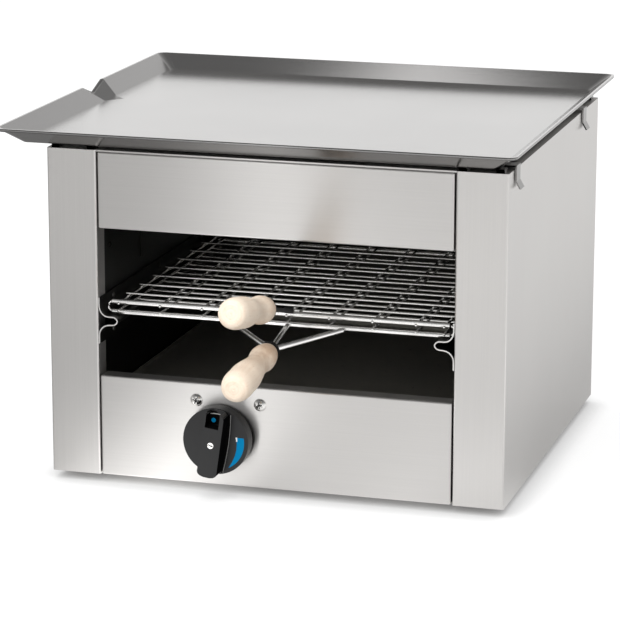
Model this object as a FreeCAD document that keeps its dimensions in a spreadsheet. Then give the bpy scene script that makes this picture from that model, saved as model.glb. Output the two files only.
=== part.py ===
import FreeCAD, Part
import Sketcher
import math
import os
import re

# Gas sandwich toaster in millimetres, +Z up, +X to the right of the person at the front, +Y to the back.
# The part's origin is on the table, under the middle of the toaster's whole outline.
# Sub-parts are drawn in the cabinet's own coordinates: x right from its left face, y back from
# its front face and z up from its lower edge. Their placement then moves them to the origin.

SIZES = [
    # Where the cabinet stands
    ("cabinet_left", -208.0, "X of the cabinet's left face"),
    ("cabinet_front", -144.45, "Y of the cabinet's front face"),
    ("foot_clearance", 8.0, "gap between the table and the cabinet's lower edge"),
    # Cabinet
    ("cabinet_width", 450.0, "outside width"),
    ("cabinet_depth", 420.0, "outside depth"),
    ("cabinet_height", 320.0, "height without the feet"),
    ("shell", 1.5, "outer stainless sheet"),
    ("lining", 1.2, "inner sheet"),
    ("fold_radius", 2.0, "outer radius of a fold in the outer sheet"),
    ("pillar_width", 49.5, "front width of each side panel"),
    ("pillar_return", 20.0, "depth of the pillar's inner fold"),
    ("rear_return", 24.0, "width of the side panel's fold round the back"),
    ("panel_gap", 1.3, "gap between a pillar and the front panels"),
    ("panel_flange", 16.5, "depth of the front panels' folds"),
    ("upper_panel_rise", 74.2, "height of the upper front panel"),
    ("lower_panel_top", 99.7, "upper edge of the lower front panel"),
    ("cover_flange", 16.0, "drop of the top cover's side folds"),
    ("rear_space", 64.0, "back lining to the cabinet's back face"),
    ("cavity_floor_height", 74.0, "top of the cavity floor"),
    # Openings in the sheets
    ("flue_length", 90.0, "length of a flue slot in the top cover"),
    ("flue_width", 7.0, "width of a flue slot"),
    ("flue_rear_margin", 78.0, "last flue slot to the back face"),
    ("flue_count", 8, "flue slots in each row"),
    ("flue_inset", 36.0, "side panel to the near end of the first row"),
    ("flue_start", 62.0, "front face to the first flue slot"),
    ("vent_length", 60.0, "length of an air slot"),
    ("vent_width", 5.0, "width of an air slot"),
    ("vent_pitch", 16.0, "spacing of the air slots"),
    ("vent_count", 5, "air slots in each group"),
    ("rear_vent_height", 214.0, "height of the lowest air slot in the back panel"),
    ("rear_vent_inset", 60.0, "left face to the first group of rear air slots"),
    ("base_vent_inset", 110.0, "left face to the base air slots"),
    ("base_vent_start", 150.0, "front face to the first base air slot"),
    # Feet
    ("foot_diameter", 30.0, "foot at the cabinet"),
    ("foot_tip_diameter", 25.0, "foot at the table"),
    ("foot_inset", 45.0, "foot centre from the cabinet's faces"),
    # Warming tray
    ("tray_gap", 4.0, "cabinet top to the tray's underside"),
    ("tray_left", -25.0, "left edge of the tray's flat base"),
    ("tray_right_inset", 9.5, "cabinet's right face to the right edge of the tray's flat base"),
    ("tray_front", -1.0, "front edge of the tray's flat base"),
    ("tray_back_overhang", 15.0, "cabinet's back face to the back edge of the tray's flat base"),
    ("tray_sheet", 1.2, "tray sheet"),
    ("lip_reach", 20.5, "how far the flared lip reaches out"),
    ("lip_rise", 15.5, "height of the lip's edge over the tray's underside"),
    ("tray_corner", 6.0, "corner radius of the tray's flat base"),
    ("lip_corner", 9.0, "corner radius of the lip's edge"),
    ("spout_middle", 243.0, "front face to the middle of the pouring spout"),
    ("spout_mouth", 54.0, "width of the spout's groove at the lip's edge"),
    ("spout_depth", 9.2, "depth of the groove under the lip's edge"),
    ("spout_sink", 5.5, "how far the groove sinks under the tray's base at the bend"),
    ("spout_run", 15.0, "how far the groove runs into the tray's base"),
    # Tray supports and clips
    ("support_width", 8.0, "width of a tray support"),
    ("support_depth", 11.0, "depth of a tray support"),
    ("support_outer", 4.5, "side face to an outer support"),
    ("support_inner", 40.0, "side face to an inner support"),
    ("support_front", 2.0, "front face to the front supports"),
    ("support_back_inset", 16.0, "back face to the front of the back supports"),
    ("clip_width", 15.0, "width of a locating clip"),
    ("clip_sheet", 1.5, "thickness of a locating clip"),
    ("clip_drop", 22.0, "length of a clip under the tray's underside"),
    ("clip_flare", 4.0, "how far a clip's tip turns out"),
    ("clip_flare_height", 7.0, "height of a clip's turned tip"),
    ("clip_leg", 28.0, "length of a clip's leg under the tray"),
    ("clip_clearance", 0.8, "side panel to a clip"),
    ("clip_front", 22.0, "front face to the front clips"),
    ("clip_pitch", 308.0, "front clips to back clips"),
    # Runner rails
    ("rail_sheet", 1.2, "rail sheet"),
    ("rail_rise", 17.8, "rail's shelf to its upper edge"),
    ("rail_drop", 27.4, "rail's shelf to its lower edge"),
    ("rod_play", 0.3, "the rack's rods to the rail's shelf"),
    ("shelf_thickness", 9.6, "height of the rail's rounded nose"),
    ("shelf_reach", 19.5, "how far the nose stands out from the pillar"),
    ("rail_bend", 5.6, "radius of the two bends beside the shelf"),
    ("rail_start", 1.0, "front face to the rail's front end"),
    ("rail_end_gap", 2.0, "rail's back end to the back lining"),
    ("rivet_head", 6.0, "diameter of a rail rivet's head"),
    ("rivet_rise", 1.4, "height of a rail rivet's head"),
    ("rivet_inset", 40.0, "front face to the first rail rivet"),
    ("rivet_pitch", 135.0, "spacing of the rail rivets"),
    ("rivet_count", 3, "rivets in each row"),
    ("rivet_edge", 6.0, "rivet centre to the rail's edge"),
    ("strip_y", 121.0, "front face to the lining strip"),
    ("strip_width", 2.4, "width of the lining strip"),
    ("strip_rise", 1.2, "how far the lining strip stands out"),
    ("strip_bottom", 190.0, "lower end of the lining strip"),
    ("strip_top", 262.0, "upper end of the lining strip"),
    ("lining_rivet_y", 36.0, "front face to the lining's rivet"),
    ("lining_rivet_z", 220.6, "height of the lining's rivet"),
    # Sandwich rack
    ("rod_diameter", 5.0, "front and back rods of the rack"),
    ("wire_diameter", 2.6, "grid wires"),
    ("rack_left", 60.0, "left end of the rods"),
    ("rack_right_inset", 56.5, "right face to the right end of the rods"),
    ("rack_front", 12.5, "front face to the front rods"),
    ("rack_back_inset", 18.0, "back lining to the back rods"),
    ("lower_rod_height", 161.0, "axis of the lower grid's rods"),
    ("grid_gap", 10.0, "lower rods to upper rods"),
    ("hook_reach", 2.2, "rod's end to the axis of a lid hook"),
    ("hook_bend", 3.0, "bend radius of a lid hook"),
    ("hook_lap", 10.0, "length of a lid hook's weld along the rod"),
    ("first_cross_wire", 28.5, "front rod to the upper grid's first cross wire"),
    ("lower_first_cross", 57.0, "front rod to the lower grid's first cross wire"),
    ("last_cross_wire", 27.5, "last cross wire to the back rod"),
    ("cross_wire_count", 8, "cross wires in the upper grid"),
    ("lower_cross_count", 7, "cross wires in the lower grid"),
    ("first_long_wire", 66.6, "left face to the first lengthwise wire"),
    ("long_wire_pitch", 42.1, "spacing of the lengthwise wires"),
    ("long_wire_count", 8, "evenly spaced lengthwise wires in each grid"),
    ("edge_wire_inset", 5.0, "rods' right end to the right edge wire"),
    ("hinge_clearance", 0.05, "radial play of the hinge eyes"),
    ("eye_diameter", 9.4, "outside of a hinge eye"),
    ("eye_width", 9.0, "width of a hinge eye"),
    ("first_eye", 83.0, "left face to the first hinge eye"),
    ("last_eye_inset", 115.0, "right face to the left side of the last hinge eye"),
    # Handles
    ("handle_x", 236.4, "left face to both handles"),
    ("handle_length", 108.0, "length of a wooden handle"),
    ("handle_head", 29.2, "largest diameter, near the free end"),
    ("handle_waist", 22.2, "diameter of the waist"),
    ("handle_shoulder", 26.6, "diameter of the swelling near the rack"),
    ("handle_neck", 17.6, "diameter at the rack's end"),
    ("handle_bore_depth", 50.0, "depth of the bore for the tang"),
    ("tang_diameter", 6.0, "rod inside a wooden handle"),
    ("bore_clearance", 0.15, "radial play round the tang"),
    ("lower_handle_y", -50.0, "front face to the lower handle's rack end"),
    ("lower_handle_z", 149.7, "height of the lower handle's rack end"),
    ("lower_handle_tilt", 4.4, "how far the lower handle points down, in degrees"),
    ("upper_handle_y", -59.0, "front face to the upper handle's rack end"),
    ("upper_handle_z", 192.6, "height of the upper handle's rack end"),
    ("upper_handle_tilt", 11.0, "how far the upper handle points up, in degrees"),
    ("ferrule_diameter", 19.0, "washer at a handle's rack end"),
    ("ferrule_thickness", 3.0, "thickness of the washer"),
    ("brace_spread", 54.2, "handle line to a brace's weld on the rod"),
    ("brace_diameter", 5.0, "diameter of the braces"),
    ("shank_width", 8.0, "width of the upper handle's flat shank"),
    ("shank_thickness", 4.0, "thickness of the flat shank"),
    # Gas control
    ("knob_x", 173.0, "left face to the knob's axis"),
    ("knob_z", 48.6, "height of the knob's axis"),
    ("knob_gap", 4.5, "panel to the back of the knob"),
    ("knob_diameter", 65.0, "knob disc"),
    ("knob_skirt", 13.3, "thickness of the knob disc"),
    ("grip_width", 19.5, "width of the raised grip"),
    ("grip_rise", 16.5, "height of the grip over the disc"),
    ("grip_lean", 8.0, "lean of the grip at rest, in degrees"),
    ("window_width", 13.5, "width of the pointer window in the grip"),
    ("window_start", 17.0, "knob axis to the window's lower edge"),
    ("window_depth", 14.0, "depth of the window"),
    ("knob_recess_diameter", 34.0, "recess in the back of the knob"),
    ("knob_recess_depth", 6.0, "depth of the recess"),
    ("knob_screw_head", 6.0, "head of the knob's screw"),
    ("knob_screw_depth", 2.2, "depth of the screw's counterbore"),
    ("knob_screw_shank", 3.0, "shank of the knob's screw"),
    ("spindle_diameter", 8.0, "valve spindle"),
    ("spindle_front", -25.0, "front face to the spindle's outer end"),
    ("spindle_back", 20.0, "front face to the spindle's inner end"),
    ("running_clearance", 0.05, "radial play of the spindle"),
    ("plunger_length", 7.0, "safety plunger behind the spindle"),
    ("plunger_room", 5.0, "free bore behind the plunger"),
    ("valve_width", 36.0, "width of the valve body"),
    ("valve_depth", 40.0, "depth of the valve body"),
    ("valve_rise", 31.0, "height of the valve body"),
    ("nose_diameter", 16.0, "valve nose through the panel"),
    ("nose_reach", 1.0, "how far the nose stands out of the panel"),
    ("hole_clearance", 0.3, "radial play of a pipe or nose in a sheet's hole"),
    ("bracket_left", 138.0, "left face to the valve bracket"),
    ("bracket_width", 84.0, "width of the valve bracket"),
    ("bracket_bottom", 26.0, "lower edge of the valve bracket"),
    ("bracket_height", 66.0, "height of the valve bracket"),
    ("front_screw_left", 148.3, "left face to the left front screw"),
    ("front_screw_pitch", 63.6, "spacing of the two front screws"),
    ("front_screw_height", 82.6, "height of the front screws"),
    ("front_screw_head", 12.4, "head of a front screw"),
    ("front_screw_rise", 3.6, "height of the head"),
    ("front_screw_shank", 6.0, "shank of a front screw"),
    ("front_screw_length", 10.0, "length of the shank"),
    # Gas pipes
    ("inlet_offset", -9.0, "knob axis to the inlet pipe"),
    ("inlet_height", 40.0, "height of the inlet pipe"),
    ("inlet_pipe", 12.0, "diameter of the inlet pipe"),
    ("union_diameter", 20.96, "outside of the gas inlet's thread"),
    ("union_bore", 9.0, "bore of the gas inlet"),
    ("union_reach", 20.0, "how far the gas inlet stands out of the back"),
    ("union_neck", 19.6, "relief groove between the panel and the thread"),
    ("union_neck_length", 3.0, "length of the relief groove"),
    ("union_nut", 32.0, "diameter of the gas inlet's collar"),
    ("union_nut_length", 10.0, "length of the collar inside the back panel"),
    ("supply_pipe", 8.0, "pipe from the valve to the burner"),
    ("supply_x", 215.0, "left face to the supply pipe's run"),
    ("supply_port", 28.0, "front face to the valve's outlet"),
    ("nozzle_gap", 0.0, "nozzle's tip to the mixing tube's mouth"),
    ("pipe_bend", 14.0, "bend radius of the supply pipe"),
    ("injector_size", 16.0, "width of the injector block"),
    ("injector_rise", 20.0, "height of the injector block"),
    ("nozzle_diameter", 8.0, "injector nozzle"),
    ("nozzle_length", 6.0, "length of the nozzle"),
    # Radiant burner
    ("burner_side_gap", 18.5, "pillar to the burner housing"),
    ("burner_front", 28.0, "front of the housing"),
    ("burner_rear_gap", 16.0, "back of the housing to the back lining"),
    ("burner_rise", 44.0, "height of the housing"),
    ("hanger_drop", 6.5, "top cover to the top of the housing"),
    ("tile_rows", 3, "ceramic tiles from front to back"),
    ("tile_columns", 2, "ceramic tiles side by side"),
    ("tile_joint", 1.0, "joint round each tile"),
    ("tile_thickness", 13.0, "thickness of a tile"),
    ("tile_frame", 1.5, "sheet of the frame under the tiles"),
    ("tile_margin", 7.0, "how far the frame overlaps a tile's edge"),
    ("hanger_width", 22.0, "width of a burner hanger"),
    ("hanger_inset", 60.0, "housing side to a hanger"),
    ("hanger_margin", 6.0, "housing's front and back to a hanger's ends"),
    ("mixing_tube", 26.0, "outside of the mixing tube"),
    ("mixing_wall", 1.5, "wall of the mixing tube"),
    ("mixing_rise", 28.5, "housing's lower edge to the mixing tube's axis"),
    ("mixing_entry", 36.0, "how far the tube reaches into the housing"),
    ("mixing_reach", 18.0, "back lining to the tube's mouth"),
    ("mouth_flare", 3.0, "how far the mouth widens"),
    # Thermocouple
    ("probe_x", 184.0, "left face to the thermocouple"),
    ("probe_lead", 3.0, "diameter of the thermocouple's lead"),
    ("probe_tip", 6.0, "diameter of the thermocouple's tip"),
    ("probe_tip_length", 26.0, "length of the tip"),
    ("probe_low", 54.0, "height of the lead at the valve"),
    ("probe_drop", 10.0, "housing's lower edge down to the tip's axis"),
    ("probe_standoff", 28.0, "back lining to the rising lead"),
    ("probe_entry", 34.0, "back lining to the tip's end"),
    # Crumb tray
    ("crumb_play", 2.0, "crumb tray to the cavity's walls"),
    ("crumb_rim", 5.0, "height of the crumb tray's rim"),
    ("crumb_corner", 8.0, "corner radius of the crumb tray"),
    ("crumb_grip_width", 70.0, "width of the crumb tray's grip"),
    ("crumb_grip_rise", 12.0, "height of the grip over the rim"),
    # Rear screws
    ("rear_screw_head", 8.0, "head of a rear screw"),
    ("rear_screw_rise", 2.6, "height of the head"),
    ("rear_screw_shank", 4.0, "shank of a rear screw"),
    ("rear_screw_length", 7.0, "length of the shank"),
    ("rear_screw_low", 40.0, "height of the lowest rear screw"),
    ("rear_screw_count", 3, "rear screws on each side"),
]

# Sizes that follow from the others
DERIVED = [
    ("cavity_depth", "cabinet_depth - rear_space", "front face to the back lining"),
    ("upper_panel_bottom", "cabinet_height - shell - upper_panel_rise", "lower edge of the upper front panel"),
    ("flue_pitch", "(cabinet_depth - flue_start - flue_rear_margin) / (flue_count - 1)",
     "spacing of the flue slots from front to back"),
    ("flue_row_pitch", "cabinet_width - 2 * flue_inset - flue_length", "spacing of the two rows of flue slots"),
    ("rear_vent_row_pitch", "cabinet_width - 2 * rear_vent_inset - vent_length",
     "spacing of the two groups of rear air slots"),
    ("tray_right", "cabinet_width - tray_right_inset", "right edge of the tray's flat base"),
    ("tray_back", "cabinet_depth + tray_back_overhang", "back edge of the tray's flat base"),
    ("support_back", "cabinet_depth - support_back_inset", "front face to the back supports"),
    ("rack_right", "cabinet_width - rack_right_inset", "right end of the rods"),
    ("shelf_top", "lower_rod_height - rod_diameter / 2 - rod_play", "height of the rail's shelf"),
    ("rail_top", "shelf_top + rail_rise", "upper edge of a rail"),
    ("rail_bottom", "shelf_top - rail_drop", "lower edge of a rail"),
    ("eye_pitch", "cabinet_width - last_eye_inset - first_eye", "spacing of the hinge eyes"),
    ("rack_back", "cavity_depth - rack_back_inset", "front face to the back rods"),
    ("cross_wire_pitch", "(rack_back - rack_front - first_cross_wire - last_cross_wire) / (cross_wire_count - 1)",
     "spacing of the cross wires"),
    ("wire_offset", "wire_diameter / 2", "grid wire axis to the rod axis, so that crossing wires touch"),
    ("last_long_wire", "rack_right - edge_wire_inset", "left face to the right edge wire"),
    ("burner_left", "pillar_width + burner_side_gap", "left side of the burner housing"),
    ("burner_width", "cabinet_width - 2 * burner_left", "width of the housing"),
    ("burner_depth", "cavity_depth - burner_front - burner_rear_gap", "depth of the housing"),
    ("burner_top", "cabinet_height - shell - hanger_drop", "top of the housing"),
    ("burner_bottom", "burner_top - burner_rise", "lower edge of the housing"),
    ("mixing_height", "burner_bottom + mixing_rise", "height of the mixing tube's axis"),
    ("mixing_front", "burner_front + burner_depth - mixing_entry", "front face to the tube's end in the housing"),
    ("mixing_back", "cavity_depth + mixing_reach", "front face to the tube's mouth"),
    ("supply_back", "mixing_back + nozzle_gap + nozzle_length + injector_size / 2",
     "front face to the rising pipe"),
    ("probe_high", "burner_bottom - probe_drop", "height of the thermocouple's tip"),
    ("probe_back", "cavity_depth + probe_standoff", "front face to the rising lead"),
    ("probe_front", "cavity_depth - probe_entry", "front face to the tip's end"),
    ("rear_screw_pitch", "(cabinet_height - 2 * rear_screw_low) / (rear_screw_count - 1)",
     "spacing of the rear screws"),
]

doc = FreeCAD.newDocument("GasSandwichToaster")
sheet = doc.addObject("Spreadsheet::Sheet", "Sizes")
for row, (alias, value, meaning) in enumerate(SIZES + DERIVED, 1):
    sheet.set(f"A{row}", meaning)
    sheet.set(f"B{row}", f"={value}")
    sheet.setAlias(f"B{row}", alias)
doc.recompute()
ALIASES = {alias for alias, value, meaning in SIZES + DERIVED}

CABINET = ("cabinet_left", "cabinet_front", "foot_clearance")
sub_parts = []


# Helpers for sizes and places

def link(text):
    """Writes the sheet's name before each size in an expression."""
    return re.sub(r"[a-z]\w*", lambda word: f"Sizes.{word.group()}" if word.group() in ALIASES else word.group(), text)


def size(text):
    """The present value of a size, or of a sum of sizes."""
    return float(sheet.evalExpression(link(str(text))))


def bind(thing, **properties):
    """Ties properties of an object to the sheet."""
    for name, text in properties.items():
        thing.setExpression(name.replace("__", "."), link(str(text)))


def place(thing, extra=("0", "0", "0")):
    """Moves a sub-part from the cabinet's coordinates to the part's origin."""
    for letter, start, more in zip("xyz", CABINET, extra):
        thing.setExpression(f"Placement.Base.{letter}", link(f"{start} + {more}"))


def point(x, y, z):
    return FreeCAD.Vector(size(x), size(y), size(z))


def keep(thing, label, extra=("0", "0", "0")):
    """Names a sub-part, places it and puts it on the list of files."""
    thing.Label = label
    place(thing, extra)
    sub_parts.append(thing)
    return thing


# Helpers for bodies made of sketches

def new_body(label, extra=("0", "0", "0")):
    return keep(doc.addObject("PartDesign::Body", label), label, extra)


def origin_feature(body, role):
    return next(feature for feature in body.Origin.OriginFeatures if feature.Role == role)


def sketch_on(body, name, plane, offset="0"):
    """An empty sketch on one of the body's own planes, moved along the plane's normal."""
    sketch = body.newObject("Sketcher::SketchObject", name)
    sketch.AttachmentSupport = [(origin_feature(body, plane + "_Plane"), "")]
    sketch.MapMode = "FlatFace"
    bind(sketch, AttachmentOffset__Base__z=offset)
    return sketch


def pin_vertex(sketch, edge, end, across, up):
    """Holds one point of a sketch at its distances from the sketch's origin."""
    for kind, text in (("DistanceX", across), ("DistanceY", up)):
        number = sketch.addConstraint(Sketcher.Constraint(kind, -1, 1, edge, end, size(text)))
        sketch.setExpression(f"Constraints[{number}]", link(text))


def polygon(sketch, corners):
    """A closed outline of straight lines, each corner tied to the sheet."""
    first = sketch.GeometryCount
    count = len(corners)
    spots = [FreeCAD.Vector(size(across), size(up), 0) for across, up in corners]
    for i in range(count):
        sketch.addGeometry(Part.LineSegment(spots[i], spots[(i + 1) % count]), False)
    for i in range(count):
        sketch.addConstraint(Sketcher.Constraint("Coincident", first + i, 2, first + (i + 1) % count, 1))
    for i, (across, up) in enumerate(corners):
        pin_vertex(sketch, first + i, 1, across, up)
    return sketch


def rectangle(sketch, left, low, right, high):
    return polygon(sketch, [(left, low), (right, low), (right, high), (left, high)])


def circle(sketch, across, up, diameter):
    number = sketch.addGeometry(Part.Circle(FreeCAD.Vector(size(across), size(up), 0),
                                            FreeCAD.Vector(0, 0, 1), size(diameter) / 2), False)
    pin_vertex(sketch, number, 3, across, up)
    width = sketch.addConstraint(Sketcher.Constraint("Diameter", number, size(diameter)))
    sketch.setExpression(f"Constraints[{width}]", link(diameter))
    return sketch


def slot(sketch, left, middle, length, width):
    """A straight slot with round ends, lying along the sketch's first direction."""
    first = sketch.GeometryCount
    radius = size(width) / 2
    start, end = size(left) + radius, size(left) + size(length) - radius
    level = size(middle)
    up = FreeCAD.Vector(0, 0, 1)
    sketch.addGeometry(Part.LineSegment(FreeCAD.Vector(start, level - radius, 0),
                                        FreeCAD.Vector(end, level - radius, 0)), False)
    sketch.addGeometry(Part.ArcOfCircle(Part.Circle(FreeCAD.Vector(end, level, 0), up, radius),
                                        -math.pi / 2, math.pi / 2), False)
    sketch.addGeometry(Part.LineSegment(FreeCAD.Vector(end, level + radius, 0),
                                        FreeCAD.Vector(start, level + radius, 0)), False)
    sketch.addGeometry(Part.ArcOfCircle(Part.Circle(FreeCAD.Vector(start, level, 0), up, radius),
                                        math.pi / 2, 3 * math.pi / 2), False)
    joints = ((0, 2, 1, 1), (1, 2, 2, 1), (2, 2, 3, 1), (3, 2, 0, 1))
    for one, end_one, two, end_two in joints:
        sketch.addConstraint(Sketcher.Constraint("Tangent", first + one, end_one, first + two, end_two))
    pin_vertex(sketch, first + 3, 3, f"{left} + {width} / 2", middle)
    pin_vertex(sketch, first + 1, 3, f"{left} + {length} - {width} / 2", middle)
    number = sketch.addConstraint(Sketcher.Constraint("Radius", first + 1, radius))
    sketch.setExpression(f"Constraints[{number}]", link(f"{width} / 2"))
    return sketch


def pad(body, sketch, length, toward_back=False):
    feature = body.newObject("PartDesign::Pad", sketch.Name + "_pad")
    feature.Profile = sketch
    feature.Reversed = toward_back
    bind(feature, Length=length)
    sketch.Visibility = False
    doc.recompute()
    return feature


def pocket(body, sketch, depth=None, backwards=False):
    """A cut of a stated depth, or right through both ways, that has to take something away."""
    before = body.Shape.Volume
    feature = body.newObject("PartDesign::Pocket", sketch.Name + "_cut")
    feature.Profile = sketch
    feature.Reversed = backwards
    if depth is None:
        feature.Type = "ThroughAll"
        feature.Midplane = True
    else:
        bind(feature, Length=depth)
    doc.recompute()
    if not feature.Shape.Volume < before - 0.01:
        raise RuntimeError(f"{feature.Label} cuts nothing")
    return feature


def repeat(body, feature, axis, spacing, count, second=None):
    """Copies of a feature along one of the body's axes, and along a second one if it is given."""
    pattern = body.newObject("PartDesign::LinearPattern", feature.Name + "_row")
    pattern.Originals = [feature]
    pattern.Direction = (origin_feature(body, axis + "_Axis"), [""])
    bind(pattern, Length=f"{spacing} * ({count} - 1)", Occurrences=count)
    if second:
        axis2, spacing2, count2 = second
        pattern.Direction2 = (origin_feature(body, axis2 + "_Axis"), [""])
        bind(pattern, Length2=f"{spacing2} * ({count2} - 1)", Occurrences2=count2)
    body.Tip = pattern
    doc.recompute()
    return pattern


def edges_along(feature, axis, places):
    """Names of the straight edges that run along an axis through the given places."""
    others = [i for i in range(3) if i != axis]
    names = []
    for number, edge in enumerate(feature.Shape.Edges, 1):
        start, end = edge.Vertexes[0].Point, edge.Vertexes[-1].Point
        if abs(abs(end[axis] - start[axis]) - edge.Length) > 1e-4:
            continue
        if any(all(abs(start[o] - size(spot[k])) < 0.01 for k, o in enumerate(others)) for spot in places):
            names.append(f"Edge{number}")
    return names


def round_off(body, feature, names, radius):
    if not names:
        raise RuntimeError(f"no edges to round on {body.Label}")
    fillet = body.newObject("PartDesign::Fillet", feature.Name + "_round")
    fillet.Base = (feature, names)
    bind(fillet, Radius=radius)
    doc.recompute()
    return fillet


# Helpers for shapes made with curves

def keep_shape(label, shape, extra=("0", "0", "0")):
    """A sub-part whose shape is worked out from the sheet's values."""
    thing = doc.addObject("Part::Feature", label)
    thing.Shape = shape
    return keep(thing, label, extra)


def one_solid(pieces):
    """Melts overlapping pieces into one."""
    return pieces[0].multiFuse(pieces[1:]).removeSplitter()


def rod(start, end, diameter):
    run = end - start
    return Part.makeCylinder(diameter / 2, run.Length, start, run)


def box(low, high):
    span = high - low
    return Part.makeBox(span.x, span.y, span.z, low)


def turned(profile, centre, axis):
    """A solid of revolution from (radius, distance along the axis) points."""
    axis = FreeCAD.Vector(axis).normalize()
    side = axis.cross(FreeCAD.Vector(0, 0, 1))
    if side.Length < 0.1:
        side = FreeCAD.Vector(1, 0, 0)
    side.normalize()
    spots = [centre + side * radius + axis * along for radius, along in profile]
    face = Part.Face(Part.makePolygon(spots + spots[:1]))
    return face.revolve(centre, axis, 360)


def bent_path(spots, radius):
    """Straight runs joined by tangent arcs of one radius."""
    edges = []
    start = spots[0]
    for i in range(1, len(spots) - 1):
        before = (spots[i - 1] - spots[i]).normalize()
        after = (spots[i + 1] - spots[i]).normalize()
        half = before.getAngle(after) / 2
        run = radius / math.tan(half)
        first, last = spots[i] + before * run, spots[i] + after * run
        inward = (before + after).normalize()
        middle = spots[i] + inward * (radius / math.sin(half) - radius)
        edges += [Part.makeLine(start, first), Part.Arc(first, middle, last).toShape()]
        start = last
    edges.append(Part.makeLine(start, spots[-1]))
    return Part.Wire(edges)


def piped(path, diameter):
    """A round bar along a path."""
    start = path.OrderedVertexes[0].Point
    first = path.OrderedEdges[0]
    ring = Part.Wire([Part.makeCircle(diameter / 2, start, first.tangentAt(first.FirstParameter))])
    return path.makePipeShell([ring], True, True)


def domed_head(seat, out, diameter, rise):
    """A low dome on a surface."""
    out = FreeCAD.Vector(out).normalize()
    side = out.cross(FreeCAD.Vector(0, 0, 1)).normalize()
    radius = diameter / 2
    ball = radius ** 2 / (2 * rise) + rise / 2
    centre = seat + out * (rise - ball)
    middle = centre + (side * radius * 0.5).add(out * math.sqrt(ball ** 2 - (radius * 0.5) ** 2))
    rim, top = seat + side * radius, seat + out * rise
    outline = Part.Wire([Part.makeLine(seat, rim), Part.Arc(rim, middle, top).toShape(), Part.makeLine(top, seat)])
    return Part.Face(outline).revolve(seat, out, 360)


def pan_screw(seat, inward, head, rise, shank, length):
    """A domed screw with a cross recess; inward points from the head into the sheet."""
    inward = FreeCAD.Vector(inward).normalize()
    side = inward.cross(FreeCAD.Vector(0, 0, 1)).normalize()
    up = side.cross(inward)
    body = domed_head(seat, -inward, head, rise).fuse(Part.makeCylinder(shank / 2, length, seat, inward))
    arm, blade = head * 0.3, head * 0.09
    for one, two in ((side, up), (up, side)):
        outer = seat - inward * (rise * 1.2)
        spots = [outer + one * (arm * a) + two * (blade * b) for a, b in ((-1, -1), (1, -1), (1, 1), (-1, 1))]
        body = body.cut(Part.Face(Part.makePolygon(spots + spots[:1])).extrude(inward * (rise * 0.8)))
    return body.removeSplitter()


def faceted(corners, faces):
    """A solid from its corners and the corner numbers of each flat face."""
    spots = [FreeCAD.Vector(*corner) for corner in corners]
    sides = [Part.Face(Part.makePolygon([spots[i] for i in face + face[:1]])) for face in faces]
    return Part.makeSolid(Part.makeShell(sides))


# Cabinet

def side_panel(label, mirrored):
    """A folded side: flat side, front pillar with its inner fold, and a fold round the back."""
    body = new_body(label)

    def across(text):
        return f"cabinet_width - ({text})" if mirrored else text

    outline = [("0", "0"), ("pillar_width", "0"), ("pillar_width", "pillar_return"),
               ("pillar_width - shell", "pillar_return"), ("pillar_width - shell", "shell"),
               ("shell", "shell"), ("shell", "cabinet_depth - shell"),
               ("rear_return", "cabinet_depth - shell"), ("rear_return", "cabinet_depth"),
               ("0", "cabinet_depth")]
    plan = sketch_on(body, label + "_plan", "XY")
    polygon(plan, [(across(x), y) for x, y in outline])
    folded = pad(body, plan, "cabinet_height")
    corners = [(across("0"), "0"), (across("pillar_width"), "0"), (across("0"), "cabinet_depth")]
    round_off(body, folded, edges_along(folded, 2, corners), "fold_radius")
    holes = sketch_on(body, label + "_holes", "XZ", "-cabinet_depth")
    circle(holes, across("rear_return / 2"), "rear_screw_low", "rear_screw_shank")
    cut = pocket(body, holes, "shell", backwards=True)
    repeat(body, cut, "Z", "rear_screw_pitch", "rear_screw_count")


def back_panel():
    """A flat back inside the side panels' folds, with air slots and the gas inlet's hole."""
    body = new_body("back_panel")
    face = sketch_on(body, "back_face", "XZ", "shell - cabinet_depth")
    rectangle(face, "shell", "2 * shell", "cabinet_width - shell", "cabinet_height - shell")
    pad(body, face, "shell")
    slots = sketch_on(body, "back_slots", "XZ", "shell - cabinet_depth")
    slot(slots, "rear_vent_inset", "rear_vent_height", "vent_length", "vent_width")
    cut = pocket(body, slots)
    repeat(body, cut, "Z", "vent_pitch", "vent_count", ("X", "rear_vent_row_pitch", "2"))
    inlet = sketch_on(body, "back_inlet", "XZ", "shell - cabinet_depth")
    circle(inlet, "knob_x + inlet_offset", "inlet_height", "union_diameter + 2 * hole_clearance")
    pocket(body, inlet)
    screws = sketch_on(body, "back_screw_holes", "XZ", "shell - cabinet_depth")
    circle(screws, "rear_return / 2", "rear_screw_low", "rear_screw_shank")
    hole = pocket(body, screws)
    repeat(body, hole, "Z", "rear_screw_pitch", "rear_screw_count", ("X", "cabinet_width - rear_return", "2"))


def relieve(body, name, level, inner):
    """Notches a flat sheet's front edge round the pillars' inner folds."""
    notches = sketch_on(body, name, "XY", level)
    rectangle(notches, "pillar_width - shell", "0", inner, "pillar_return")
    rectangle(notches, f"cabinet_width - ({inner})", "0", "cabinet_width - pillar_width + shell", "pillar_return")
    pocket(body, notches, "shell", backwards=True)


def base_plate():
    """The bottom sheet, with slots for the burner's air."""
    body = new_body("base_plate")
    plan = sketch_on(body, "base_plan", "XY", "shell")
    rectangle(plan, "shell", "shell", "cabinet_width - shell", "cabinet_depth - 2 * shell")
    pad(body, plan, "shell")
    slots = sketch_on(body, "base_slots", "XY", "shell")
    slot(slots, "base_vent_inset", "base_vent_start", "vent_length", "vent_width")
    cut = pocket(body, slots)
    repeat(body, cut, "Y", "vent_pitch", "vent_count",
           ("X", "cabinet_width - 2 * base_vent_inset - vent_length", "2"))
    relieve(body, "base_relief", "shell", "pillar_width + panel_gap + shell")


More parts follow.
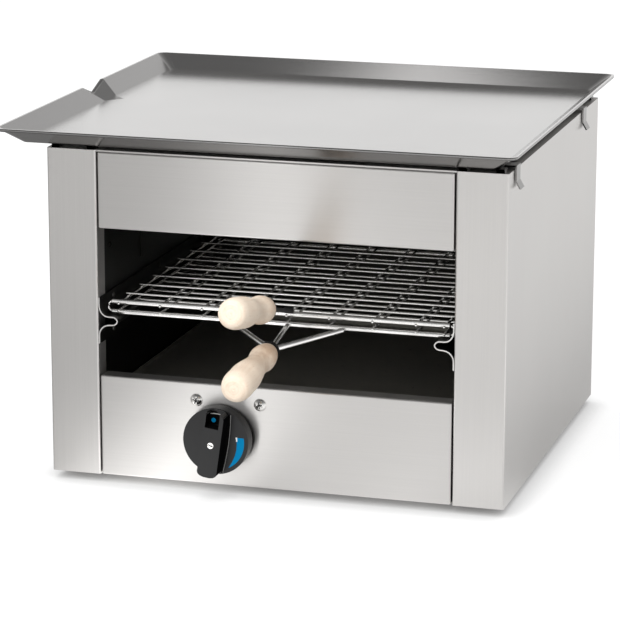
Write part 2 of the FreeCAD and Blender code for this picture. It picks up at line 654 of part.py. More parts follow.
def top_cover():
    """The cabinet's top, folded down at both sides and slotted for the flue gas."""
    body = new_body("top_cover")
    profile = sketch_on(body, "cover_profile", "XZ", "-shell")
    polygon(profile, [("shell", "cabinet_height - cover_flange"), ("2 * shell", "cabinet_height - cover_flange"),
                      ("2 * shell", "cabinet_height - shell"),
                      ("cabinet_width - 2 * shell", "cabinet_height - shell"),
                      ("cabinet_width - 2 * shell", "cabinet_height - cover_flange"),
                      ("cabinet_width - shell", "cabinet_height - cover_flange"),
                      ("cabinet_width - shell", "cabinet_height"), ("shell", "cabinet_height")])
    pad(body, profile, "cabinet_depth - 3 * shell", toward_back=True)
    slots = sketch_on(body, "flue_slot", "XY", "cabinet_height - shell")
    slot(slots, "flue_inset", "flue_start", "flue_length", "flue_width")
    cut = pocket(body, slots)
    repeat(body, cut, "Y", "flue_pitch", "flue_count", ("X", "flue_row_pitch", "2"))
    relieve(body, "cover_relief", "cabinet_height - shell", "pillar_width")


def front_panel(label, bottom, top):
    """A shallow folded box, open at the back, that closes the front between the pillars."""
    body = new_body(label)
    left = "pillar_width + panel_gap"
    right = "cabinet_width - pillar_width - panel_gap"
    face = sketch_on(body, label + "_face", "XZ")
    rectangle(face, left, bottom, right, top)
    block = pad(body, face, "panel_flange", toward_back=True)
    front_edges = edges_along(block, 0, [("0", bottom), ("0", top)])
    front_edges += edges_along(block, 2, [(left, "0"), (right, "0")])
    front_edges += edges_along(block, 1, [(x, z) for x in (left, right) for z in (bottom, top)])
    rounded = round_off(body, block, front_edges, "fold_radius")
    inside = sketch_on(body, label + "_inside", "XZ", "-panel_flange")
    rectangle(inside, f"{left} + shell", f"{bottom} + shell", f"{right} - shell", f"{top} - shell")
    pocket(body, inside, "panel_flange - shell", backwards=True)
    return body, rounded


def lower_front_panel():
    """The control panel, with holes for the valve's nose and its two screws."""
    body, block = front_panel("lower_front_panel", "0", "lower_panel_top")
    holes = sketch_on(body, "control_holes", "XZ")
    circle(holes, "knob_x", "knob_z", "nose_diameter + 2 * hole_clearance")
    circle(holes, "front_screw_left", "front_screw_height", "front_screw_shank")
    circle(holes, "front_screw_left + front_screw_pitch", "front_screw_height", "front_screw_shank")
    pocket(body, holes, "2 * shell")


def feet():
    """Four rubber feet under the base plate."""
    tips = []
    for x in ("foot_inset", "cabinet_width - foot_inset"):
        for y in ("foot_inset", "cabinet_depth - foot_inset"):
            tips.append(Part.makeCone(size("foot_tip_diameter / 2"), size("foot_diameter / 2"),
                                      size("foot_clearance + shell"), point(x, y, "-foot_clearance")))
    keep_shape("feet", Part.makeCompound(tips))


def rear_screws():
    """Screws that hold the back panel in the side panels' folds."""
    screws = []
    for x in ("rear_return / 2", "cabinet_width - rear_return / 2"):
        for i in range(int(size("rear_screw_count"))):
            centre = point(x, "cabinet_depth", f"rear_screw_low + {i} * rear_screw_pitch")
            screws.append(pan_screw(centre, (0, -1, 0), size("rear_screw_head"), size("rear_screw_rise"),
                                    size("rear_screw_shank"), size("rear_screw_length")))
    keep_shape("rear_screws", Part.makeCompound(screws))


# Cavity

def side_lining(label, mirrored):
    """A flat sheet behind a pillar, from the base plate to the top cover."""
    body = new_body(label)
    start = "cabinet_width - pillar_width" if mirrored else "pillar_width - lining"
    face = sketch_on(body, label + "_face", "YZ", start)
    rectangle(face, "pillar_return", "2 * shell", "cavity_depth", "cabinet_height - shell")
    pad(body, face, "lining")


def back_lining():
    """The cavity's back, with holes for the pipes, the thermocouple and the mixing tube."""
    body = new_body("back_lining")
    face = sketch_on(body, "back_lining_face", "XZ", "-cavity_depth")
    rectangle(face, "pillar_width - lining", "2 * shell", "cabinet_width - pillar_width + lining",
              "cabinet_height - shell")
    pad(body, face, "lining", toward_back=True)
    holes = sketch_on(body, "back_lining_holes", "XZ", "-cavity_depth")
    circle(holes, "knob_x + inlet_offset", "inlet_height", "inlet_pipe + 2 * hole_clearance")
    circle(holes, "supply_x", "knob_z", "supply_pipe + 2 * hole_clearance")
    circle(holes, "probe_x", "probe_low", "probe_lead + 2 * hole_clearance")
    circle(holes, "probe_x", "probe_high", "probe_lead + 2 * hole_clearance")
    circle(holes, "supply_x", "mixing_height", "mixing_tube + 2 * hole_clearance")
    pocket(body, holes)


def cavity_floor():
    """The floor sheet, turned up behind the lower front panel and under its top fold."""
    body = new_body("cavity_floor")
    profile = sketch_on(body, "floor_profile", "YZ", "pillar_width")
    polygon(profile, [("panel_flange - lining", "cavity_floor_height - lining"),
                      ("cavity_depth", "cavity_floor_height - lining"),
                      ("cavity_depth", "cavity_floor_height"),
                      ("panel_flange", "cavity_floor_height"),
                      ("panel_flange", "lower_panel_top - shell"),
                      ("panel_flange - lining", "lower_panel_top - shell")])
    pad(body, profile, "cabinet_width - 2 * pillar_width")
    relief = sketch_on(body, "floor_relief", "XY", "cavity_floor_height")
    rectangle(relief, "pillar_width", "0", "pillar_width + panel_gap + shell", "pillar_return")
    rectangle(relief, "cabinet_width - pillar_width - panel_gap - shell", "0",
              "cabinet_width - pillar_width", "pillar_return")
    pocket(body, relief)


def crumb_tray():
    """A loose shallow tray on the cavity floor, with a raised grip at its front."""
    body = new_body("crumb_tray")
    left = "pillar_width + crumb_play"
    right = "cabinet_width - pillar_width - crumb_play"
    front = "pillar_return + crumb_play"
    back = "cavity_depth - crumb_play"
    plan = sketch_on(body, "crumb_plan", "XY", "cavity_floor_height")
    rectangle(plan, left, front, right, back)
    pad(body, plan, "crumb_rim")
    hollow = sketch_on(body, "crumb_hollow", "XY", "cavity_floor_height + crumb_rim")
    rectangle(hollow, f"{left} + lining", f"{front} + lining", f"{right} - lining", f"{back} - lining")
    deep = pocket(body, hollow, "crumb_rim - lining")
    inner = [(x, y) for x in (f"{left} + lining", f"{right} - lining")
             for y in (f"{front} + lining", f"{back} - lining")]
    inside = round_off(body, deep, edges_along(deep, 2, inner), "crumb_corner - lining")
    corners = [(x, y) for x in (left, right) for y in (front, back)]
    round_off(body, inside, edges_along(inside, 2, corners), "crumb_corner")
    grip = sketch_on(body, "crumb_grip", "XY", "cavity_floor_height + crumb_rim - lining")
    rectangle(grip, "cabinet_width / 2 - crumb_grip_width / 2", front,
              "cabinet_width / 2 + crumb_grip_width / 2", f"{front} + lining")
    pad(body, grip, "crumb_grip_rise + lining")


def runner_rail(label, mirrored):
    """A bent strip with a shelf and a rounded nose, which the rack slides on."""
    inner_radius = size("shelf_thickness / 2 - rail_sheet")
    upper, lower = size("shelf_top - rail_sheet"), size("shelf_top - shelf_thickness + rail_sheet")
    bend = size("rail_bend")
    nose = size("shelf_reach") - inner_radius - size("rail_sheet")
    y = size("rail_start")

    def spot(out, height):
        return FreeCAD.Vector(size("pillar_width") + out, y, height)

    corner = bend * (1 - math.sqrt(0.5))
    path = Part.Wire([
        Part.makeLine(spot(0, size("rail_top")), spot(0, upper + bend)),
        Part.Arc(spot(0, upper + bend), spot(corner, upper + corner), spot(bend, upper)).toShape(),
        Part.makeLine(spot(bend, upper), spot(nose, upper)),
        Part.Arc(spot(nose, upper), spot(nose + inner_radius, (upper + lower) / 2), spot(nose, lower)).toShape(),
        Part.makeLine(spot(nose, lower), spot(bend, lower)),
        Part.Arc(spot(bend, lower), spot(corner, lower - corner), spot(0, lower - bend)).toShape(),
        Part.makeLine(spot(0, lower - bend), spot(0, size("rail_bottom")))])
    strip = path.makeOffset2D(size("rail_sheet"), 0, True, True, False)
    if strip.BoundBox.XMin < size("pillar_width") - 0.01:
        strip = path.makeOffset2D(-size("rail_sheet"), 0, True, True, False)
    rail = strip.extrude(FreeCAD.Vector(0, size("cavity_depth - rail_end_gap - rail_start"), 0))
    if mirrored:
        rail = rail.mirror(point("cabinet_width / 2", "0", "0"), FreeCAD.Vector(1, 0, 0))
    keep_shape(label, Part.makeSolid(rail.Shells[0]) if rail.ShapeType != "Solid" else rail)


def rail_rivets():
    """Domed rivet heads on the rails' upper and lower strips."""
    heads = []
    for x, side in (("pillar_width + rail_sheet", 1), ("cabinet_width - pillar_width - rail_sheet", -1)):
        for z in ("rail_top - rivet_edge", "rail_bottom + rivet_edge"):
            for i in range(int(size("rivet_count"))):
                seat = point(x, f"rivet_inset + {i} * rivet_pitch", z)
                heads.append(domed_head(seat, (side, 0, 0), size("rivet_head"), size("rivet_rise")))
    keep_shape("rail_rivets", Part.makeCompound(heads))


def lining_trim():
    """A narrow upright strip and one rivet on each side lining."""
    pieces = []
    for x, side in (("pillar_width", 1), ("cabinet_width - pillar_width", -1)):
        seat = point(x, "lining_rivet_y", "lining_rivet_z")
        pieces.append(domed_head(seat, (side, 0, 0), size("rivet_head"), size("rivet_rise")))
        low = point(f"{x} - {(1 - side) // 2} * strip_rise", "strip_y", "strip_bottom")
        pieces.append(box(low, low + point("strip_rise", "strip_width", "strip_top - strip_bottom")))
    keep_shape("lining_trim", Part.makeCompound(pieces))


# Warming tray

def rounded_plate(left, front, right, back, radius, height):
    """A closed wire round a rectangle with round corners."""
    spots = [(left, front), (right, front), (right, back), (left, back)]
    edges = []
    for i in range(4):
        here = FreeCAD.Vector(*spots[i], height)
        before = FreeCAD.Vector(*spots[i - 1], height)
        after = FreeCAD.Vector(*spots[(i + 1) % 4], height)
        into, away = (before - here).normalize(), (after - here).normalize()
        middle = here + (into + away) * radius * (1 - math.sqrt(0.5))
        edges.append(Part.Arc(here + into * radius, middle, here + away * radius).toShape())
        nearer = after + (here - after).normalize() * radius
        edges.append(Part.makeLine(here + away * radius, nearer))
    return Part.Wire(edges)


def spout_groove(drop):
    """The space above the pouring spout's V-shaped floor, lowered by a drop."""
    base = size("cabinet_height + tray_gap + tray_sheet")
    edge, middle = size("tray_left"), size("spout_middle")
    steep = size("spout_depth / (spout_mouth / 2)")
    climb = size("lip_rise - tray_sheet - spout_depth + spout_sink") / size("lip_reach")
    floor = base - size("spout_sink")
    beyond = size("2 * lip_reach")
    top = base + size("3 * lip_rise") + climb * beyond
    rings = []
    for along in (0, beyond):
        low = floor + climb * along
        half = (top - low) / steep
        rings += [(edge - along, middle - half, top - drop), (edge - along, middle, low - drop),
                  (edge - along, middle + half, top - drop)]
    outer = faceted(rings, [[0, 1, 2], [3, 4, 5], [0, 1, 4, 3], [1, 2, 5, 4], [2, 0, 3, 5]])
    level = floor + 2 * size("spout_sink")
    half = (level - floor) / steep
    inner = faceted([(edge, middle - half, level - drop), (edge, middle, floor - drop),
                     (edge, middle + half, level - drop), (edge + 2 * size("spout_run"), middle, level - drop)],
                    [[0, 1, 2], [0, 1, 3], [1, 2, 3], [2, 0, 3]])
    return outer.fuse(inner)


def warming_tray():
    """A pressed sheet: flat base, flared lip all round, and a pouring spout in the left lip."""
    base = size("cabinet_height + tray_gap")
    left, right = size("tray_left"), size("tray_right")
    front, back = size("tray_front"), size("tray_back")
    reach, rise, wall = size("lip_reach"), size("lip_rise"), size("tray_sheet")
    low_corner, high_corner = size("tray_corner"), size("lip_corner")
    outer = Part.makeLoft([
        rounded_plate(left, front, right, back, low_corner, base),
        rounded_plate(left - reach, front - reach, right + reach, back + reach, high_corner, base + rise)],
        True, True)
    shift = wall * math.tan(math.atan2(reach, rise) / 2)
    grow = reach / rise * rise * 1.5
    inner = Part.makeLoft([
        rounded_plate(left + shift, front + shift, right - shift, back - shift, low_corner, base + wall),
        rounded_plate(left + shift - grow, front + shift - grow, right - shift + grow, back - shift + grow,
                      low_corner + (high_corner - low_corner) * 1.5, base + wall + rise * 1.5)], True, True)
    near = box(FreeCAD.Vector(left - reach, size("spout_middle - spout_mouth"), base - rise),
               FreeCAD.Vector(left + size("2 * spout_run"), size("spout_middle + spout_mouth"), base + rise))
    groove = spout_groove(wall * 1.1).common(near)
    keep_shape("warming_tray", outer.fuse(groove).cut(inner).cut(spout_groove(0)).removeSplitter())


def tray_clips():
    """Four bent straps under the tray that hang down beside the side panels."""
    clips = []
    under = size("cabinet_height + tray_gap")
    thick = size("clip_sheet")
    level, low = under - thick, under - size("clip_drop")
    for edge, side in ((0.0, -1), (size("cabinet_width"), 1)):
        inner = edge + side * size("clip_clearance")
        outline = [(edge - side * size("clip_leg"), under), (inner + side * thick, under),
                   (inner + side * thick, low + size("clip_flare_height")),
                   (inner + side * (thick + size("clip_flare")), low),
                   (inner + side * size("clip_flare"), low),
                   (inner, low + size("clip_flare_height")), (inner, level),
                   (edge - side * size("clip_leg"), level)]
        for i in range(2):
            y = size(f"clip_front + {i} * clip_pitch")
            spots = [FreeCAD.Vector(x, y, z) for x, z in outline]
            face = Part.Face(Part.makePolygon(spots + spots[:1]))
            clips.append(face.extrude(FreeCAD.Vector(0, size("clip_width"), 0)))
    keep_shape("tray_clips", Part.makeCompound(clips))


def tray_supports():
    """Eight small blocks that hold the tray off the cabinet's top."""
    blocks = []
    for x in ("support_outer", "support_inner", "cabinet_width - support_inner - support_width",
              "cabinet_width - support_outer - support_width"):
        for y in ("support_front", "support_back"):
            low = point(x, y, "cabinet_height")
            blocks.append(box(low, low + point("support_width", "support_depth", "tray_gap")))
    keep_shape("tray_supports", Part.makeCompound(blocks))


# Sandwich rack

def rack_grid(label, rod_height, side, first_cross, cross_count):
    """Two rods and the straight wires welded to them; side is 1 where the cross wires lie on top."""
    def spot(x, y, up=0):
        return FreeCAD.Vector(size(x), size(y), size(rod_height) + up * size("wire_offset"))

    rods = [rod(spot("rack_left", y), spot("rack_right", y), size("rod_diameter"))
            for y in ("rack_front", "rack_back")]
    wires = []
    places = [f"first_long_wire + {i} * long_wire_pitch" for i in range(int(size("long_wire_count")))]
    for x in places + ["last_long_wire"]:
        wire = rod(spot(x, "rack_front + rod_diameter / 4", -side),
                   spot(x, "rack_back - rod_diameter / 4", -side), size("wire_diameter"))
        wires.append(wire.cut(rods).Solids[0])
    for i in range(int(size(cross_count))):
        y = f"rack_front + {first_cross} + {i} * cross_wire_pitch"
        wires.append(rod(spot("first_long_wire - wire_diameter", y, side),
                         spot("last_long_wire + wire_diameter", y, side), size("wire_diameter")))
    keep_shape(label, Part.makeCompound(rods + wires))


def hinge_eyes():
    """Two eyes on the upper grid's back rod that turn round the lower grid's back rod."""
    eyes = []
    for i in range(2):
        start = point(f"first_eye + {i} * eye_pitch", "rack_back", "lower_rod_height")
        along = FreeCAD.Vector(size("eye_width"), 0, 0)
        ring = rod(start, start + along, size("eye_diameter"))
        neck = box(start + FreeCAD.Vector(0, -size("rod_diameter / 2"), 0),
                   start + along + point("0", "rod_diameter / 2", "grid_gap"))
        bore = rod(start, start + along, size("rod_diameter + 2 * hinge_clearance"))
        seat = rod(start + point("0", "0", "grid_gap"), start + along + point("0", "0", "grid_gap"),
                   size("rod_diameter"))
        eyes.append(ring.fuse(neck).cut(bore).cut(seat).removeSplitter())
    keep_shape("rack_hinge_eyes", Part.makeCompound(eyes))


def lid_hooks():
    """Bent wire ends on the upper front rod that come down beside the lower rod's ends."""
    hooks = []
    for x, side in (("rack_left", -1), ("rack_right", 1)):
        out = f"{x} + {side} * hook_reach"
        path = bent_path([point(f"{x} - {side} * 2", "rack_front", "lower_rod_height + grid_gap"),
                          point(out, "rack_front", "lower_rod_height + grid_gap"),
                          point(out, "rack_front", "lower_rod_height - 1")], size("hook_bend"))
        end = point(x, "rack_front", "lower_rod_height + grid_gap")
        inner = end - FreeCAD.Vector(side * size("hook_lap"), 0, 0)
        hooks.append(piped(path, size("wire_diameter")).cut(rod(inner, end, size("rod_diameter"))))
    keep_shape("lid_hooks", Part.makeCompound(hooks))


def tilted(label, y, z, tilt, axis):
    """A body whose own -Y axis points along a handle, tilted about X."""
    body = new_body(label, ("handle_x", y, z))
    body.Placement = FreeCAD.Placement(body.Placement.Base, FreeCAD.Rotation(FreeCAD.Vector(axis, 0, 0), size(tilt)))
    body.setExpression("Placement.Rotation.Angle", link(tilt))
    return body


def wooden_handle(label, y, z, tilt, axis):
    """A turned handle, from its narrow neck at the rack to its domed end, with a blind bore."""
    body = tilted(label, y, z, tilt, axis)
    profile = sketch_on(body, label + "_profile", "XY")
    half = [("tang_diameter / 2 + bore_clearance", "0"), ("handle_neck / 2", "0"),
            ("handle_shoulder / 2 - 2.7", "-0.03 * handle_length"),
            ("handle_shoulder / 2 - 0.7", "-0.10 * handle_length"),
            ("handle_shoulder / 2", "-0.20 * handle_length"),
            ("handle_waist / 2 + 0.1", "-0.30 * handle_length"),
            ("handle_waist / 2 + 0.1", "-0.42 * handle_length"),
            ("handle_head / 2 - 1.6", "-0.54 * handle_length"),
            ("handle_head / 2 - 0.1", "-0.66 * handle_length"),
            ("handle_head / 2 - 0.1", "-0.78 * handle_length"),
            ("handle_head / 2", "-0.88 * handle_length"),
            ("handle_head / 2 - 1.0", "-0.94 * handle_length"),
            ("handle_head / 2 - 2.0", "-0.98 * handle_length"),
            ("handle_head / 2 - 6.2", "-handle_length"), ("0", "-handle_length"),
            ("0", "-handle_bore_depth"), ("tang_diameter / 2 + bore_clearance", "-handle_bore_depth")]
    polygon(profile, half)
    turn = body.newObject("PartDesign::Revolution", label + "_turn")
    turn.Profile = profile
    turn.ReferenceAxis = (origin_feature(body, "Y_Axis"), [""])
    turn.Angle = 360
    doc.recompute()


def handle_line(y, z, tilt):
    """The rack end of a handle and the direction it points in."""
    angle = math.radians(size(tilt))
    return point("handle_x", y, z), FreeCAD.Vector(0, -math.cos(angle), -math.sin(angle))


def ferrule(label, y, z, tilt):
    """A black washer between a wooden handle and the rack's rods."""
    start, along = handle_line(y, z, tilt)
    disc = rod(start - along * size("ferrule_thickness"), start, size("ferrule_diameter"))
    hole = rod(start - along * size("ferrule_thickness"), start, size("tang_diameter"))
    keep_shape(label, disc.cut(hole))


def lower_handle_frame():
    """Two braces and a middle rod, welded to the lower front rod, that end in the handle's tang."""
    start, along = handle_line("lower_handle_y", "lower_handle_z", "lower_handle_tilt")
    meet = start - along * size("ferrule_thickness + brace_diameter / 2")
    thickness = size("brace_diameter")
    pieces = [rod(meet, start + along * size("handle_bore_depth - 2"), size("tang_diameter"))]
    weld = "lower_rod_height - wire_offset"
    for spread in ("-brace_spread", "0", "brace_spread"):
        end = point(f"handle_x + {spread}", "rack_front - rod_diameter / 2 - brace_diameter / 2 + 0.4", weld)
        pieces.append(rod(meet, end, thickness))
        pieces.append(Part.makeSphere(thickness / 2, end))
    pieces.append(Part.makeSphere(size("tang_diameter / 2"), meet))
    front_rod = rod(point("rack_left", "rack_front", "lower_rod_height"),
                    point("rack_right", "rack_front", "lower_rod_height"), size("rod_diameter"))
    keep_shape("lower_handle_frame", one_solid(pieces).cut(front_rod))


def upper_handle_shank():
    """A flat black shank, welded on top of the upper front rod, with the handle's tang."""
    start, along = handle_line("upper_handle_y", "upper_handle_z", "-upper_handle_tilt")
    back = start - along * size("ferrule_thickness")
    half = size("shank_width / 2")
    thick = size("shank_thickness")
    top = size("lower_rod_height + grid_gap + rod_diameter / 2")
    rear_y = size("rack_front + rod_diameter / 2 + 1")
    lower, upper = (back + FreeCAD.Vector(-half, along.z * up, -along.y * up) for up in (-thick / 2, thick / 2))
    spots = [lower,
             FreeCAD.Vector(back.x - half, size("rack_front - rod_diameter"), top - 0.4),
             FreeCAD.Vector(back.x - half, rear_y, top - 0.4),
             FreeCAD.Vector(back.x - half, rear_y, top - 0.4 + thick),
             FreeCAD.Vector(back.x - half, size("rack_front - rod_diameter"), top - 0.4 + thick),
             upper]
    flat = Part.Face(Part.makePolygon(spots + spots[:1])).extrude(FreeCAD.Vector(2 * half, 0, 0))
    tang = rod(back - along * 2, start + along * size("handle_bore_depth - 2"), size("tang_diameter"))
    front_rod = rod(point("rack_left", "rack_front", "lower_rod_height + grid_gap"),
                    point("rack_right", "rack_front", "lower_rod_height + grid_gap"), size("rod_diameter"))
    shank = one_solid([flat, tang]).cut(front_rod)
    keep_shape("upper_handle_shank", shank)


# Gas control

def control_knob():
    """A round knob with a leaning grip across it, a pointer window and a recess behind."""
    body = new_body("control_knob", ("knob_x", "0", "knob_z"))
    body.Placement = FreeCAD.Placement(body.Placement.Base, FreeCAD.Rotation(FreeCAD.Vector(0, 1, 0), size("grip_lean")))
    body.setExpression("Placement.Rotation.Angle", link("grip_lean"))
    disc = sketch_on(body, "knob_disc", "XZ", "knob_gap")
    circle(disc, "0", "0", "knob_diameter")
    pad(body, disc, "knob_skirt")
    grip = sketch_on(body, "knob_grip", "XZ", "knob_gap + knob_skirt")
    rim = [("grip_width / 2", "knob_diameter / 2 - 5"), ("grip_width / 2 - 0.8", "knob_diameter / 2 - 3"),
           ("grip_width / 2 - 3", "knob_diameter / 2 - 1.4"), ("grip_width / 2 - 6.5", "knob_diameter / 2 - 0.5")]
    far = [(f"-({x})", z) for x, z in reversed(rim)]
    near = [(x, f"-({z})") for x, z in reversed(rim)]
    polygon(grip, rim + far + [(f"-({x})", f"-({z})") for x, z in rim] + near)
    pad(body, grip, "grip_rise")
    window = sketch_on(body, "knob_window", "XZ", "knob_gap + knob_skirt + grip_rise")
    rectangle(window, "-grip_width / 2 + (grip_width - window_width) / 2 - 1", "window_start",
              "grip_width / 2 - (grip_width - window_width) / 2 - 1", "knob_diameter / 2 + 1")
    pocket(body, window, "window_depth")
    recess = sketch_on(body, "knob_recess", "XZ", "knob_gap")
    circle(recess, "0", "0", "knob_recess_diameter")
    pocket(body, recess, "knob_recess_depth", backwards=True)
    bore = sketch_on(body, "knob_bore", "XZ", "knob_gap")
    circle(bore, "0", "0", "spindle_diameter")
    pocket(body, bore, "-spindle_front - knob_gap", backwards=True)
    head = sketch_on(body, "knob_screw_seat", "XZ", "knob_gap + knob_skirt + grip_rise")
    circle(head, "0", "0", "knob_screw_head + 2 * hole_clearance")
    pocket(body, head, "knob_screw_depth")
    shank = sketch_on(body, "knob_screw_hole", "XZ", "knob_gap + knob_skirt + grip_rise")
    circle(shank, "0", "0", "knob_screw_shank + 2 * running_clearance")
    pocket(body, shank, "knob_gap + knob_skirt + grip_rise + spindle_front")


def knob_screw():
    """A slotted screw through the knob into the end of the spindle."""
    seat = point("knob_x", "-knob_gap - knob_skirt - grip_rise + knob_screw_depth", "knob_z")
    head = Part.makeCylinder(size("knob_screw_head / 2"), size("knob_screw_depth - 0.3"), seat,
                             FreeCAD.Vector(0, -1, 0))
    shank = rod(seat, point("knob_x", "spindle_front + 7", "knob_z"), size("knob_screw_shank"))
    nick = box(seat + point("-knob_screw_head", "-knob_screw_depth", "-0.5"),
               seat + point("knob_screw_head", "-knob_screw_depth + 1.1", "0.5"))
    keep_shape("knob_screw", one_solid([head, shank]).cut(nick))


def valve_spindle():
    """The shaft that carries the knob, threaded for its screw."""
    shaft = rod(point("knob_x", "spindle_front", "knob_z"), point("knob_x", "spindle_back", "knob_z"),
                size("spindle_diameter"))
    tapped = rod(point("knob_x", "spindle_front", "knob_z"), point("knob_x", "spindle_front + 8", "knob_z"),
                 size("knob_screw_shank"))
    keep_shape("valve_spindle", shaft.cut(tapped))


def valve_plunger():
    """The safety valve's plunger, which the spindle pushes in."""
    start = point("knob_x", "spindle_back", "knob_z")
    end = start + point("0", "plunger_length", "0")
    keep_shape("valve_plunger", rod(start, end, size("spindle_diameter")))


def gas_valve_body():
    """The brass gas valve: a block with a round nose and a blind bore for spindle and plunger."""
    left = "knob_x - valve_width / 2"
    low = point(left, "2 * shell", "knob_z - valve_rise / 2")
    block = box(low, low + point("valve_width", "valve_depth", "valve_rise"))
    nose = rod(point("knob_x", "2 * shell", "knob_z"), point("knob_x", "-nose_reach", "knob_z"),
               size("nose_diameter"))
    bore = rod(point("knob_x", "-nose_reach", "knob_z"),
               point("knob_x", "spindle_back + plunger_length + plunger_room", "knob_z"),
               size("spindle_diameter + 2 * running_clearance"))
    keep_shape("gas_valve_body", one_solid([block, nose]).cut(bore))


def valve_bracket():
    """The plate behind the lower front panel that carries the valve."""
    body = new_body("valve_bracket")
    face = sketch_on(body, "bracket_face", "XZ", "-shell")
    rectangle(face, "bracket_left", "bracket_bottom", "bracket_left + bracket_width",
              "bracket_bottom + bracket_height")
    circle(face, "knob_x", "knob_z", "nose_diameter + 2 * hole_clearance")
    circle(face, "front_screw_left", "front_screw_height", "front_screw_shank")
    circle(face, "front_screw_left + front_screw_pitch", "front_screw_height", "front_screw_shank")
    pad(body, face, "shell", toward_back=True)


def front_screws():
    """Two polished screws that hold the valve bracket to the panel."""
    screws = []
    for x in ("front_screw_left", "front_screw_left + front_screw_pitch"):
        screws.append(pan_screw(point(x, "0", "front_screw_height"), (0, 1, 0), size("front_screw_head"),
                                size("front_screw_rise"), size("front_screw_shank"), size("front_screw_length")))
    keep_shape("front_screws", Part.makeCompound(screws))


# Gas pipes and burner

def inlet_pipe():
    """A straight pipe from the gas inlet to the valve."""
    keep_shape("inlet_pipe", rod(point("knob_x + inlet_offset", "2 * shell + valve_depth", "inlet_height"),
                                 point("knob_x + inlet_offset", "cabinet_depth - 2 * shell - union_nut_length",
                                       "inlet_height"), size("inlet_pipe")))


def gas_inlet():
    """The threaded inlet through the back panel, with a collar inside."""
    axis_x = "knob_x + inlet_offset"
    inside = point(axis_x, "cabinet_depth - 2 * shell", "inlet_height")
    collar = rod(inside - point("0", "union_nut_length", "0"), inside, size("union_nut"))
    root = inside + point("0", "union_neck_length", "0")
    neck = rod(inside, root, size("union_neck"))
    thread = rod(root, point(axis_x, "cabinet_depth + union_reach", "inlet_height"), size("union_diameter"))
    bore = rod(inside, point(axis_x, "cabinet_depth + union_reach", "inlet_height"), size("union_bore"))
    keep_shape("gas_inlet", one_solid([collar, neck, thread]).cut(bore))


def supply_pipe():
    """The pipe from the valve's side, back under the cavity floor and up to the injector."""
    path = bent_path([point("knob_x + valve_width / 2", "supply_port", "knob_z"),
                      point("supply_x", "supply_port", "knob_z"),
                      point("supply_x", "supply_back", "knob_z"),
                      point("supply_x", "supply_back", "mixing_height - injector_rise / 2")], size("pipe_bend"))
    keep_shape("supply_pipe", piped(path, size("supply_pipe")))


def gas_injector():
    """A brass block with a nozzle that points into the mixing tube."""
    half = size("injector_size / 2")
    centre = point("supply_x", "supply_back", "mixing_height")
    span = FreeCAD.Vector(half, half, size("injector_rise / 2"))
    block = box(centre - span, centre + span)
    nozzle = Part.makeCone(size("nozzle_diameter / 2"), size("nozzle_diameter / 4"), size("nozzle_length"),
                           centre - FreeCAD.Vector(0, half, 0), FreeCAD.Vector(0, -1, 0))
    keep_shape("gas_injector", one_solid([block, nozzle]))


def mixing_tube():
    """The tube that draws in air and feeds the burner, flared at its mouth."""
    outer, wall, flare = size("mixing_tube / 2"), size("mixing_wall"), size("mouth_flare")
    back, front = size("mixing_back"), size("mixing_front")
    profile = [(outer - wall, 0), (outer, 0), (outer, back - front - 8), (outer + flare, back - front),
               (outer + flare - wall, back - front), (outer - wall, back - front - 8)]
    keep_shape("mixing_tube", turned(profile, point("supply_x", "mixing_front", "mixing_height"), (0, 1, 0)))


def burner_housing():
    """A box open downwards, which spreads the gas over the ceramic tiles."""
    body = new_body("burner_housing")
    left, right = "burner_left", "burner_left + burner_width"
    front, back = "burner_front", "burner_front + burner_depth"
    plan = sketch_on(body, "housing_plan", "XY", "burner_bottom")
    rectangle(plan, left, front, right, back)
    pad(body, plan, "burner_top - burner_bottom")
    hollow = sketch_on(body, "housing_hollow", "XY", "burner_bottom")
    rectangle(hollow, f"{left} + lining", f"{front} + lining", f"{right} - lining", f"{back} - lining")
    pocket(body, hollow, "burner_top - burner_bottom - lining", backwards=True)
    port = sketch_on(body, "housing_port", "XZ", "-(burner_front + burner_depth)")
    circle(port, "supply_x", "mixing_height", "mixing_tube + 2 * hole_clearance")
    pocket(body, port, "2 * lining", backwards=True)


TILE_WIDTH = "((burner_width - 2 * lining) / tile_columns)"
TILE_DEPTH = "((burner_depth - 2 * lining) / tile_rows)"


def tile_frame():
    """The flat frame that holds the tiles, with a window under each."""
    body = new_body("tile_frame")
    plan = sketch_on(body, "frame_plan", "XY", "burner_bottom - tile_frame")
    rectangle(plan, "burner_left", "burner_front", "burner_left + burner_width", "burner_front + burner_depth")
    pad(body, plan, "tile_frame")
    window = sketch_on(body, "frame_window", "XY", "burner_bottom - tile_frame")
    rectangle(window, "burner_left + lining + tile_margin", "burner_front + lining + tile_margin",
              f"burner_left + lining + {TILE_WIDTH} - tile_margin",
              f"burner_front + lining + {TILE_DEPTH} - tile_margin")
    cut = pocket(body, window)
    repeat(body, cut, "X", TILE_WIDTH, "tile_columns", ("Y", TILE_DEPTH, "tile_rows"))


def ceramic_tiles():
    """The glowing tiles, side by side on the frame."""
    tiles = []
    joint = size("tile_joint / 2")
    for column in range(int(size("tile_columns"))):
        for row in range(int(size("tile_rows"))):
            low = point(f"burner_left + lining + {column} * {TILE_WIDTH}",
                        f"burner_front + lining + {row} * {TILE_DEPTH}", "burner_bottom")
            high = low + point(TILE_WIDTH, TILE_DEPTH, "tile_thickness")
            tiles.append(box(low + FreeCAD.Vector(joint, joint, 0), high - FreeCAD.Vector(joint, joint, 0)))
    keep_shape("ceramic_tiles", Part.makeCompound(tiles))


